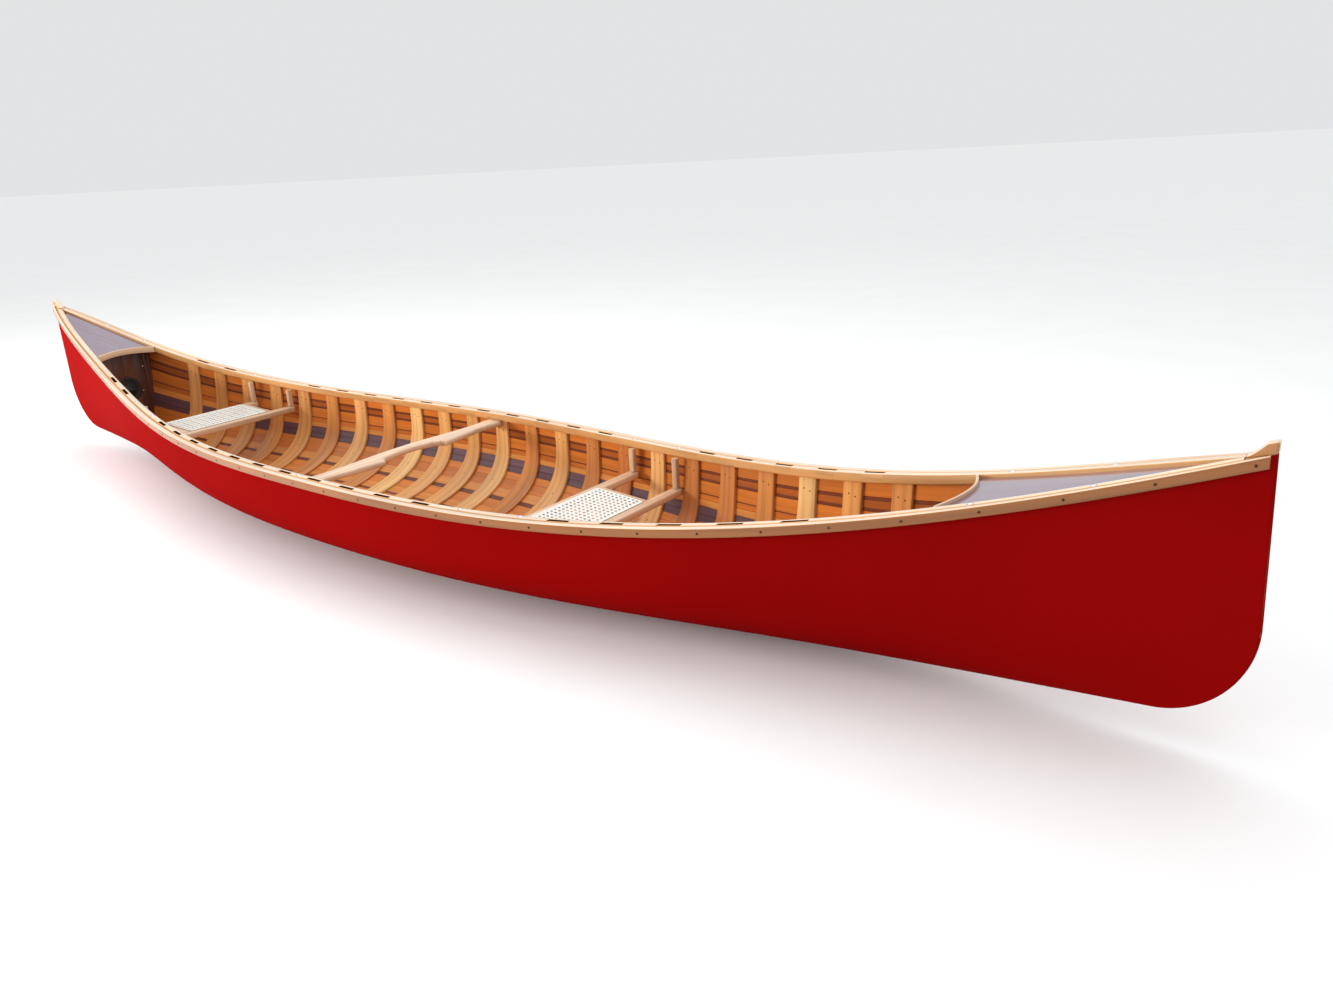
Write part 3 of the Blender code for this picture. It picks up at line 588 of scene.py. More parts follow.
def nosed(x, girth, inset):
    """A shell whose two ends are rounded over to the centre plane."""
    body = shell(x[:, None], girth[None, :], inset)
    columns = [body]
    for end in (-1, 1):
        base = shell(np.array([[end * (HALF_LENGTH - NOSE)]]), girth[None, :], inset)[0]
        tip = shell(np.array([[end * HALF_LENGTH]]), girth[None, :], inset)[0]
        tip[:, 0] -= end * inset
        turns = []
        for angle in np.linspace(0.0, math.pi / 2, 7)[1:]:
            column = base + (tip - base) * math.sin(angle)
            column[:, 1] = base[:, 1] * math.cos(angle)
            turns.append(column)
        if end < 0:
            columns.insert(0, np.array(turns[::-1]))
        else:
            columns.append(np.array(turns))
    return np.concatenate(columns)


def both_sides(shape):
    """The shape and its mirror image across the centre plane."""
    whole = Shape()
    whole.join(shape)
    whole.join(shape.flipped((1, -1, 1)))
    return whole


def build_skin():
    x = spread(HALF_LENGTH - NOSE, 0.035)
    girth = np.concatenate([[0.0, KEEL_HALF], np.linspace(KEEL_HALF, GIRTH - PAINT_BELOW_SHEER, 45)[1:]])
    half = Shape()
    slab(half, nosed(x, girth, 0.0), nosed(x, girth, SKIN), edges=("last_row",))
    make("painted_skin", both_sides(half), red_paint, "skin", ["hull_skin"], weld=True)


def board(shape, low, high, tone, seed, limit=INWALE_END, chamfer=0.0007):
    """One strip of planking between two girths, with eased edges on the inside of the hull."""
    x = spread(limit, 0.04)
    steps = max(2, int(math.ceil((high - low) / 0.014)) + 1)
    back = np.linspace(low, high, max(2, steps // 2 + 1))
    face = np.linspace(high - chamfer, low + chamfer, steps)
    girth = np.concatenate([back, [high], face, [low]])
    inset = np.concatenate([np.full(len(back), PLANK_OUT), [PLANK_IN - chamfer],
                            np.full(len(face), PLANK_IN), [PLANK_IN - chamfer]])
    rings = shell(x[:, None], girth[None, :], inset[None, :])
    grain = grain_of(x[:, None], girth[None, :], inset[None, :])
    sweep(shape, rings, seeded(grain, seed), tone)


PLANK_SEAM = 0.0002
BILGE_TOP = 0.485
BILGE_FOOT = 0.345
# The thin top board's pale tone is a painted highlight on its top edge, and the dark second board, seen
# only through the scuppers, is painted shade.
SIDE_BOARDS = ((1.0, 0.10), (0.9955, 0.97), (0.935, 0.42), (0.825, 0.86), (0.80, 0.66), (0.745, 0.88),
               (0.72, 0.38), (0.605, 0.80), (0.595, 0.47), (0.545, 0.20))
BILGE_BOARDS = ((BILGE_TOP, 0.25), (0.412, 0.45))
"""Each board's upper edge, as t, and its tone; the next one starts where it ends."""

FLOOR_BOARDS = ((0.045, 0.30), (0.091, 0.22), (0.137, 0.36), (0.180, 0.26), (0.194, 0.84), (0.238, 0.24),
                (0.284, 0.34), (0.303, 0.90), (0.345, 0.20), (0.388, 0.40))
"""Each floor board's outer edge, as a girth from the centreline in metres, and its tone."""
LAST_FLOOR_TONE = 0.30


def strakes(boards, foot, seed, seed_step, sign):
    """Boards of one side, from the top one down to the t of the last one's lower edge."""
    shape = Shape()
    edges = [float(girth_at(t)) for t, _ in boards] + [float(girth_at(foot))]
    for number, (_, tone) in enumerate(boards):
        board(shape, edges[number + 1] + PLANK_SEAM, edges[number] - PLANK_SEAM, tone,
              seed + seed_step * number + sign)
    return shape.flipped((1, sign, 1))


def build_planking():
    floor = Shape()
    inner = 0.0
    boards = FLOOR_BOARDS + ((float(girth_at(BILGE_FOOT)), LAST_FLOOR_TONE),)
    for number, (outer, tone) in enumerate(boards):
        board(floor, inner + PLANK_SEAM, outer - PLANK_SEAM, tone, 1.3 * number)
        inner = outer
    make("floor_boards", both_sides(floor), cedar, "cedar", ["floor_planking"])
    for word, sign in SIDES:
        side = strakes(SIDE_BOARDS, BILGE_TOP, 20, 1.7, sign)
        bilge = strakes(BILGE_BOARDS, BILGE_FOOT, 40, 2.1, sign)
        make(f"side_boards_{word}", side, cedar, "cedar", [f"side_planking_{word}"])
        make(f"bilge_boards_{word}", bilge, walnut, "walnut", [f"bilge_strake_{word}"])


def build_ribs():
    """Steamed ribs with rounded edges, from inwale to inwale."""
    deep = RIB_IN - PLANK_IN
    outline = round_rectangle(RIB_WIDTH, deep, (0.0030, 0.0030, 0.0006, 0.0006))
    middle_inset = PLANK_IN + deep / 2
    for number in range(2 * RIBS_EACH_WAY + 1):
        x = (number - RIBS_EACH_WAY) * PITCH
        reach = float(girth_at(rib_top(x))) - 0.0005
        arm = np.linspace(-reach, reach, 61)
        side = np.sign(arm)
        share = (RIB_TAPER_HIGH - t_at_girth(np.abs(arm))) / (RIB_TAPER_HIGH - RIB_TAPER_LOW)
        wider = 1.0 + RIB_SWELL / RIB_WIDTH * np.clip(share, 0.0, 1.0)
        across = outline[None, :, 0] * wider[:, None]
        points = shell(x + across, np.abs(arm)[:, None], middle_inset + outline[None, :, 1])
        points[..., 1] *= np.where(side == 0, 0.0, side)[:, None]
        grain = grain_of(arm[:, None], across, outline[None, :, 1])
        shape = Shape()
        sweep(shape, points, seeded(grain, 3.1 * number), dice.uniform(0.05, 0.95))
        make(f"rib_{number + 1:02d}_wood", shape, rib_wood, "rib", [f"rib_{number + 1:02d}"])


# ---------------------------------------------------------------- gunwales
SCUPPER_LONG = 0.065
SCUPPER_DEEP = 0.012
SCUPPER_SHIFT = 0.42 * PITCH
SCUPPER_RIBS = (-11, -10, -7, -6, -5, -4, -3, -2, -1, 0, 1, 2, 3, 6, 7, 8, 9, 10)
SIDEWAYS = np.array((0.0, 1.0, 0.0))
# Depth and tone of the painted highlight along the tops of the gunwales and the stem heads.
PAINTED_HIGHLIGHT_DEPTH = 0.0012
PAINTED_HIGHLIGHT_TONE = 0.04
OUTWALE_TONE = 0.86
INWALE_TONE = 0.52
HEAD_TONE = 0.72
RAIL_CLEAR = 0.0002
NOTCH_MARKS = (0.0, 0.0004, 0.0012, 0.0024, 0.004)
NOTCH_ROUND = 0.004
NOTCH_START = 0.001
# Margin of the painted shade on the scupper walls.
PAINTED_SHADE_MARGIN = 0.0006


def sheer_line(x, inset):
    """Top edge at an inset, and the direction down the side from it."""
    top = shell(x, GIRTH, inset)
    low = shell(x, girth_at(rib_top(x)), inset)
    return top, unit(low - top)


def inwale_width(x):
    top, _ = sheer_line(x, INWALE_OUT)
    return np.minimum(GUNWALE_THICK, top[..., 1] - 0.00015)


def scupper_depth(x):
    """Depth of the notch in the inwale at x: full over its length, with rounded ends."""
    depth = np.zeros_like(x)
    for rib in SCUPPER_RIBS:
        inner = SCUPPER_LONG / 2 - np.abs(x - rib * PITCH - SCUPPER_SHIFT)
        ease = np.clip(inner / NOTCH_ROUND, 0.0, 1.0)
        depth = np.maximum(depth, SCUPPER_DEEP * np.sqrt(1.0 - (1.0 - ease) ** 2))
    return depth


def gunwale(shape, x, inset, near, far, radii, seed, tone):
    """Rail along the sheer: near and far are the distances of its two faces from the line at inset.

    Its top is painted pale as a painted highlight, and the scupper walls are painted dark as painted shade.
    """
    top, down = sheer_line(x, inset)
    rings, grain, tones = [], [], []
    for place_x, start, fall, a, b in zip(x, top, down, near, far):
        wide = abs(b - a)
        corners = [min(radius, 0.45 * wide) for radius in radii]
        outline = round_rectangle(wide, GUNWALE_HIGH, corners)
        across = (a + b) / 2 + outline[:, 0]
        deep = GUNWALE_HIGH / 2 - outline[:, 1]
        rings.append(start + across[:, None] * SIDEWAYS + deep[:, None] * fall)
        # Painted highlight: the top band of the rail is painted pale.
        tones.append(np.where(deep < PAINTED_HIGHLIGHT_DEPTH, PAINTED_HIGHLIGHT_TONE, tone))
        # Painted shade: the scupper walls of the inwale take the darkest tone.
        if b < -NOTCH_START:
            tones[-1][(across > b - PAINTED_SHADE_MARGIN) & (deep > PAINTED_SHADE_MARGIN)] = 1.0
        grain.append(np.stack([np.full(len(outline), place_x), outline[:, 0], outline[:, 1]], axis=-1))
    sweep(shape, np.array(rings), seeded(np.array(grain), seed), np.array(tones).ravel())


def build_gunwales():
    outwale_x = spread(HALF_LENGTH - OUTWALE_SHORT, 0.03)
    marks = [rib * PITCH + SCUPPER_SHIFT + side * (SCUPPER_LONG / 2 - step)
             for rib in SCUPPER_RIBS for side in (-1, 1) for step in NOTCH_MARKS]
    inwale_x = np.unique(np.round(np.concatenate([spread(INWALE_END, 0.03), marks]), 5))
    for word, sign in SIDES:
        outer, inner = Shape(), Shape()
        thick = outwale_thickness(outwale_x)
        gunwale(outer, outwale_x, 0.0, np.full_like(thick, RAIL_CLEAR), RAIL_CLEAR + thick,
                (0.0035, 0.0010, 0.0010, 0.0045), 60 + sign, OUTWALE_TONE)
        make(f"outwale_{word}_wood", outer.flipped((1, sign, 1)), ash, "gunwale", [f"outwale_{word}"])
        near = -scupper_depth(inwale_x)
        gunwale(inner, inwale_x, INWALE_OUT, -inwale_width(inwale_x), near,
                (0.0010, 0.0035, 0.0045, 0.0010), 64 + sign, INWALE_TONE)
        make(f"inwale_{word}_wood", inner.flipped((1, sign, 1)), ash, "gunwale", [f"inwale_{word}"])


# ---------------------------------------------------------------- decks, coamings, stem heads
DECK_EDGE = 12.3 * PITCH
DECK_ARC = 0.030
DECK_RECESS = 0.009
DECK_THICK = 0.006
DECK_TIP = 15.6 * PITCH
DECK_CROWN = 0.0012
COAMING_THICK = 0.006
COAMING_DEEP = 0.026
HEAD_LONG = 0.0492
HEAD_HIGH = 0.022
HEAD_FLAT = 0.018
HEAD_ROUND = 0.005
HEAD_START_LIFT = 0.004
HEAD_HALF_WIDTH = 0.013
CLEAR = 0.0003


def deck_side(x):
    top, down = sheer_line(x, INWALE_OUT)
    return (top + down * GUNWALE_HIGH)[..., 1] - inwale_width(x) - CLEAR


def deck_edge(v, setback=0.0):
    return DECK_EDGE + setback + DECK_ARC * (1.0 - v * v)


def build_deck(end, sign):
    v = np.linspace(-1.0, 1.0, 25)[None, :]
    u = np.linspace(0.0, 1.0, 17)[:, None]
    edge = deck_edge(v, COAMING_THICK + CLEAR)
    x = edge + (DECK_TIP - edge) * u
    y = v * deck_side(x)
    z = sheer_height(x) - DECK_RECESS + DECK_CROWN * (1.0 - v * v)
    upper = np.stack([x, y, z], axis=-1)
    lower = upper - (0.0, 0.0, DECK_THICK)
    shape = Shape()
    grain = np.concatenate([upper.reshape(-1, 3), lower.reshape(-1, 3)])
    slab(shape, lower, upper, grain=seeded(grain, 70 + sign))
    make(f"{end}_deck_wood", shape.flipped((sign, 1, 1)), deck_wood, "deck", [f"{end}_deck"])


def build_coaming(end, sign):
    """Bent lip along the deck's hollowed edge."""
    v = np.linspace(-1.0, 1.0, 33)
    x = deck_edge(v, COAMING_THICK / 2)
    path = np.stack([x, v * deck_side(x), sheer_height(x) + 0.001 - COAMING_DEEP / 2], axis=-1)
    tangent = np.gradient(path, axis=0)
    tangent[:, 2] = 0.0
    tangent = unit(tangent)
    side = np.stack([tangent[:, 1], -tangent[:, 0], np.zeros(len(v))], axis=-1)
    outline = round_rectangle(COAMING_THICK, COAMING_DEEP, 0.0022, 4)
    rings = path[:, None, :] + side[:, None, :] * outline[None, :, :1]
    rings = rings + outline[None, :, 1:] * np.array((0.0, 0.0, 1.0))
    grain = grain_of(run_along(path)[:, None], outline[None, :, 0], outline[None, :, 1])
    shape = Shape()
    sweep(shape, rings, seeded(grain, 74 + sign), 0.22)
    make(f"{end}_coaming_wood", shape.flipped((sign, 1, 1)), ash, "coaming", [f"{end}_coaming"])


def build_stem_head(end, sign):
    """Carved block: a hollow ramp up to a short rounded top."""
    start = HALF_LENGTH - HEAD_LONG
    ramp_long = HEAD_LONG - HEAD_FLAT
    places = []
    for share in np.linspace(0.0, 1.0, 13):
        rise = (1.0 - math.cos(share * math.pi / 2)) ** 0.9
        lift = HEAD_START_LIFT + (HEAD_HIGH - HEAD_START_LIFT) * rise
        places.append((start + ramp_long * share, lift, 0.0))
    for angle in np.linspace(0.0, math.pi / 2, 6):
        narrow = HEAD_ROUND * (1.0 - math.cos(angle))
        x = HALF_LENGTH - HEAD_ROUND * (1.0 - math.sin(angle))
        places.append((x, HEAD_HIGH + 0.0005 - narrow, narrow))
    ends = np.array((INWALE_END, HALF_LENGTH))
    base = np.interp([x for x, _, _ in places], ends, sheer_height(ends))
    rings, grain, tones = [], [], []
    for (x, lift, narrow), low in zip(places, base + 2 * CLEAR):
        soft = min(0.003, lift / 2.2)
        outline = round_rectangle(2 * (HEAD_HALF_WIDTH - narrow), lift, (soft, soft, 0.0006, 0.0006))
        rings.append([(x, a, low + lift / 2 + b) for a, b in outline])
        # Painted highlight: the top of the stem head is painted pale.
        tones.append(np.where(outline[:, 1] > lift / 2 - PAINTED_HIGHLIGHT_DEPTH, PAINTED_HIGHLIGHT_TONE, HEAD_TONE))
        grain.append([(x, a, b) for a, b in outline])
    shape = Shape()
    sweep(shape, np.array(rings), seeded(np.array(grain), 78 + sign), np.array(tones).ravel())
    make(f"{end}_stem_head_wood", shape.flipped((sign, 1, 1)), ash, "gunwale", [f"{end}_stem_head"])


# ---------------------------------------------------------------- bulkheads and hatches
STAVE_WIDE = 0.046
HATCH_Z = 0.295
HATCH_HOLE = 0.0480
HATCH_FLANGE = 0.0580
HATCH_COLLAR = 0.0470
HATCH_BORE = 0.0430
HATCH_LID = 0.0420
FLANGE_THICK = 0.005
LID_RIB_START = 0.0225
LID_RIB_END = 0.0350
LID_RIB_WIDE = 0.0016
GRIP_LONG = 0.056
GRIP_WIDE = 0.012
GRIP_HIGH = 0.010
HATCH_FACE = BULKHEAD_X - CLEAR


def build_bulkhead(end, sign):
    """Upright staves with eased edges, cut to the hull and pierced for the hatch."""
    girths = np.linspace(0.0, float(girth_at(rib_top(BULKHEAD_X))), 60)
    section = shell(BULKHEAD_X, girths, PLANK_IN + 0.0006)[:, 1:]
    shoulder, shoulder_top = section[-1]
    between = float(deck_side(np.array([BULKHEAD_X]))[0])
    deck_under = float(sheer_height(BULKHEAD_X)) - DECK_RECESS - DECK_THICK - 0.0012
    inner_edges = [k * STAVE_WIDE for k in range(-2, 3) if abs(k * STAVE_WIDE) < between - 0.01]
    edges = [-shoulder, -between] + inner_edges + [between, shoulder]
    shape = Shape()
    for number, (left, right) in enumerate(zip(edges, edges[1:])):
        top = deck_under if abs(left + right) / 2 < between else shoulder_top
        y = np.linspace(left + PLANK_SEAM, right - PLANK_SEAM, 9)
        bottom = np.interp(np.abs(y), section[:, 0], section[:, 1])
        outline = list(zip(y, bottom)) + [(right - PLANK_SEAM, top), (left + PLANK_SEAM, top)]
        points = [(x, a, b) for x in (BULKHEAD_X, END_BASE) for a, b in outline]
        count = len(outline)
        faces = [tuple(range(count)), tuple(range(2 * count - 1, count - 1, -1))]
        faces += [(i, i + count, (i + 1) % count + count, (i + 1) % count) for i in range(count)]
        grain = seeded([(b, a, x) for x, a, b in points], 82 + 1.7 * number + sign)
        shape.add(points, faces, grain, dice.uniform(0.1, 0.9))
    plate = make(f"{end}_bulkhead_staves", shape.flipped((sign, 1, 1)), stave_wood, "bulkhead",
                 [f"{end}_bulkhead"])
    cutter = Shape()
    reach = 0.02
    profile = [(-reach, 0.0), (-reach, HATCH_HOLE), (reach, HATCH_HOLE), (reach, 0.0)]
    turn(cutter, profile, (sign * BULKHEAD_X, 0, HATCH_Z))
    cut_with(plate, cutter)
    ease_edges(plate, 0.0007)


def turn(shape, profile, centre, segments=64, sign=1):
    """Solid of revolution about the X axis, from (x, radius) points; x is along sign."""
    angles = np.linspace(0.0, 2 * math.pi, segments, endpoint=False)
    centre = np.array(centre, float)
    closed = profile[0][1] > 0.0
    rings, grain = [], []
    for x, radius in profile:
        radius = max(radius, 1e-5)
        ring = [(sign * x, radius * math.cos(a), radius * math.sin(a)) for a in angles]
        rings.append(centre + np.array(ring))
        grain.append(np.array(ring))
    if closed:
        rings.append(rings[0])
        grain.append(grain[0])
    shape.add(np.array(rings), tube_faces(len(rings), segments, caps=not closed), np.array(grain))


def cut_with(piece, cutter_shape):
    """Takes the cutter's volume out of a piece."""
    mesh = bpy.data.meshes.new("cutter")
    points = np.concatenate(cutter_shape.points)
    mesh.from_pydata([tuple(point) for point in points], [], cutter_shape.faces)
    tidy_mesh(mesh)
    cutter = bpy.data.objects.new("cutter", mesh)
    bpy.context.scene.collection.objects.link(cutter)
    modifier = piece.modifiers.new("Boolean", "BOOLEAN")
    modifier.object = cutter
    modifier.solver = "EXACT"
    modifier.use_self = True
    apply_modifiers(piece)
    bpy.data.objects.remove(cutter)


def ease_edges(piece, width, segments=2, angle=40.0):
    modifier = piece.modifiers.new("Bevel", "BEVEL")
    modifier.width = width
    modifier.segments = segments
    modifier.limit_method = "ANGLE"
    modifier.angle_limit = math.radians(angle)
    apply_modifiers(piece)
    piece.data.shade_smooth()
    piece.data.set_sharp_from_angle(angle=math.radians(50.0))


def apply_modifiers(piece):
    graph = bpy.context.evaluated_depsgraph_get()
    result = bpy.data.meshes.new_from_object(piece.evaluated_get(graph))
    piece.modifiers.clear()
    old = piece.data
    piece.data = result
    bpy.data.meshes.remove(old)


def build_hatch(end, sign):
    """Screw-in inspection hatch: flanged ring, and a ribbed lid with a grip across it."""
    centre = (sign * HATCH_FACE, 0.0, HATCH_Z)
    deep = BULKHEAD_THICK + 2 * CLEAR
    edge = 0.0014
    ring = Shape()
    profile = [(0.0, HATCH_FLANGE), (-FLANGE_THICK + edge, HATCH_FLANGE - 0.0008),
               (-FLANGE_THICK + 0.4 * edge, HATCH_FLANGE - 0.0012), (-FLANGE_THICK, HATCH_FLANGE - 0.0030),
               (-FLANGE_THICK, HATCH_BORE + 0.0020), (-FLANGE_THICK + 0.6 * edge, HATCH_BORE),
               (deep, HATCH_BORE), (deep, HATCH_COLLAR), (0.0, HATCH_COLLAR)]
    turn(ring, profile, centre, sign=sign)
    radius = (HATCH_FLANGE + HATCH_BORE) / 2
    for number in range(6):
        angle = math.radians(60 * number + 30)
        spot = (centre[0] - sign * FLANGE_THICK, radius * math.cos(angle),
                HATCH_Z + radius * math.sin(angle))
        screw_head(ring, spot, (-sign, 0, 0), 0.0030, 0.0012)
    make(f"{end}_hatch_ring_moulding", ring, plastic, "hatch", [f"{end}_hatch_ring"])

    lid = Shape()
    face = -FLANGE_THICK - 0.001
    back = -FLANGE_THICK + 0.006
    profile = [(back, 0.0), (back, HATCH_LID - 0.0004), (face + 0.0012, HATCH_LID - 0.0002),
               (face, HATCH_LID - 0.0012), (face, HATCH_LID - 0.0046), (face + 0.0016, HATCH_LID - 0.0058),
               (face + 0.0016, 0.0200), (face + 0.0008, 0.0188), (face + 0.0008, 0.0)]
    turn(lid, profile, centre, sign=sign)
    for number in range(36):
        angle = math.radians(10.0 * number)
        radial = np.array((0.0, math.cos(angle), math.sin(angle)))
        middle = np.array(centre) + np.array((sign * (face + 0.0008), 0, 0))
        bar(lid, middle + radial * LID_RIB_START, middle + radial * LID_RIB_END, LID_RIB_WIDE, LID_RIB_WIDE,
            0.0005, up=(-sign, 0, 0))
    grip_middle = np.array(centre) + np.array((sign * (face - GRIP_HIGH / 2 + 0.0012), 0.0, 0.0))
    half = np.array((0.0, GRIP_LONG / 2, 0.0))
    bar(lid, grip_middle - half, grip_middle + half, GRIP_WIDE, GRIP_HIGH + 0.0008, 0.0030,
        up=(-sign, 0, 0), end_radius=0.004, steps=4)
    make(f"{end}_hatch_lid_moulding", lid, plastic, "hatch", [f"{end}_hatch_cover"],
         body=f"{end}_hatch_lid")


# ---------------------------------------------------------------- yoke and seats
YOKE_THICK = 0.020
YOKE_X = -0.022
YOKE_END_WIDTH = 0.064
YOKE_ARM_WIDTH = 0.050
YOKE_SHOULDER = 0.128
YOKE_STEP = 0.026
YOKE_NECK = 0.052
YOKE_BOW = 0.018
YOKE_TAPER = 0.200
SEAT_RAIL_X = {"bow": (4.335 * PITCH, 5.64 * PITCH), "stern": (-8.665 * PITCH, -7.35 * PITCH)}
SEAT_TOP = {"bow": (0.222, 0.208), "stern": (0.260, 0.252)}
RAIL_WIDE = 0.032
RAIL_DEEP = 0.024
SIDE_RAIL_WIDE = 0.032
SEAT_HALF_WIDTH = 0.190
CANE_LAP = 0.008
HANGER = 0.018


def eased(value):
    value = max(0.0, min(1.0, value))
    return value * value * (3.0 - 2.0 * value)


def yoke_edges(y):
    """Aft and forward edge of the yoke at y."""
    out = abs(y)
    half = (YOKE_ARM_WIDTH + (YOKE_END_WIDTH - YOKE_ARM_WIDTH) * eased((out - 0.30) / 0.09)) / 2
    swell = YOKE_BOW * (1.0 - eased(out / 0.30))
    if out < YOKE_SHOULDER:
        forward = half + YOKE_STEP - YOKE_NECK * math.sqrt(1.0 - (out / YOKE_SHOULDER) ** 2)
    else:
        forward = half + YOKE_STEP * max(0.0, 1.0 - (out - YOKE_SHOULDER) / YOKE_TAPER)
    return YOKE_X - half - swell, YOKE_X + forward


def build_yoke():
    _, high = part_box("yoke")
    reach, top = high.y, high.z
    marks = [side * YOKE_SHOULDER * share for side in (-1, 1) for share in (0.9, 0.97, 0.99, 1.0)]
    y = np.unique(np.concatenate([np.linspace(-reach, reach, 91), marks]))
    rings, grain = [], []
    for place_y in y:
        aft, forward = yoke_edges(place_y)
        outline = round_rectangle(forward - aft, YOKE_THICK, 0.0075, 5)
        middle = (aft + forward) / 2
        rings.append([(middle + a, place_y, top - YOKE_THICK / 2 + b) for a, b in outline])
        grain.append([(place_y, middle + a, b) for a, b in outline])
    shape = Shape()
    sweep(shape, np.array(rings), seeded(np.array(grain), 90), 0.22)
    make("yoke_wood", shape, seat_wood, "seat", ["yoke"])


def seat_frame_axes(end):
    """Middle of a seat's top, its forward direction in the canted plane, and half its reach."""
    (aft_x, fore_x), (aft_top, fore_top) = SEAT_RAIL_X[end], SEAT_TOP[end]
    middle = Vector(((aft_x + fore_x) / 2, 0.0, (aft_top + fore_top) / 2))
    forward = Vector((fore_x - aft_x, 0.0, fore_top - aft_top))
    return middle, forward.normalized(), forward.length / 2


def rail_tip(end, x):
    """Distance of a seat rail's end from the centreline, read from its hangers."""
    for number in (1, 3):
        low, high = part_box(f"{end}_seat_hanger_{number}")
        if abs((low.x + high.x) / 2 - x) < 0.02:
            return -low.y + 0.001
    return SEAT_HALF_WIDTH


def build_seat(end):
    middle, forward, reach = seat_frame_axes(end)
    up = Vector((-forward.z, 0.0, forward.x))
    port = Vector((0.0, 1.0, 0.0))
    frame_shape = Shape()
    seed = 100 if end == "bow" else 120
    for number, (x, side) in enumerate(zip(SEAT_RAIL_X[end], (-1, 1))):
        centre = middle + forward * reach * side - up * RAIL_DEEP / 2
        tip = rail_tip(end, x)
        bar(frame_shape, centre - port * tip, centre + port * tip, RAIL_WIDE, RAIL_DEEP, 0.0065,
            0.30 + 0.1 * number, seed + number, up=up, end_radius=0.005, steps=5)
    for number, side in enumerate((-1, 1)):
        centre = middle + port * side * (SEAT_HALF_WIDTH - SIDE_RAIL_WIDE / 2) - up * RAIL_DEEP / 2
        gap = reach - RAIL_WIDE / 2 + 0.0015
        bar(frame_shape, centre - forward * gap, centre + forward * gap, SIDE_RAIL_WIDE, RAIL_DEEP - 0.001,
            0.004, 0.25 + 0.1 * number, seed + 4 + number, up=up, steps=4)
    make(f"{end}_seat_frame_wood", frame_shape, seat_wood, "seat", [f"{end}_seat_frame"])
    build_cane(end, middle + up * CLEAR, forward, port, up, reach)
    for number in range(1, 5):
        low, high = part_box(f"{end}_seat_hanger_{number}")
        centre = (low + high) / 2
        post = Shape()
        bar(post, (centre.x, centre.y, low.z), (centre.x, centre.y, high.z), HANGER, HANGER, 0.0030,
            0.25 + 0.08 * number, seed + 10 + number, up=(1, 0, 0))
        make(f"{end}_seat_hanger_{number}_wood", post, seat_wood, "seat",
             [f"{end}_seat_hanger_{number}"])


CANE_PITCH = 0.0165
STRAND_WIDE = 0.0033
STRAND_THICK = 0.0006
DIAGONAL_WIDE = 0.0034
SPLINE_WIDE = 0.0052
PAIR_HALF = 0.0026
WEAVE_LIFT = 0.0016
WEAVE_SWING = 0.00055
DIAGONAL_LIFT = 0.0020
DIAGONAL_SWING = 0.0004


def strand(shape, path, wide, up, seed):
    """Flat cane with a rounded face along a path of points."""
    path = np.array(path)
    side = unit(np.cross(unit(np.gradient(path, axis=0)), up))
    outline = np.array([(-0.5, -0.5), (0.5, -0.5), (0.42, 0.2), (0.0, 0.5), (-0.42, 0.2)])
    rings = (path[:, None, :] + side[:, None, :] * outline[None, :, :1] * wide
             + np.asarray(up) * outline[None, :, 1:] * STRAND_THICK)
    grain = grain_of(run_along(path)[:, None], outline[None, :, 0] * wide, outline[None, :, 1])
    sweep(shape, rings, seeded(grain, seed), 0.5)


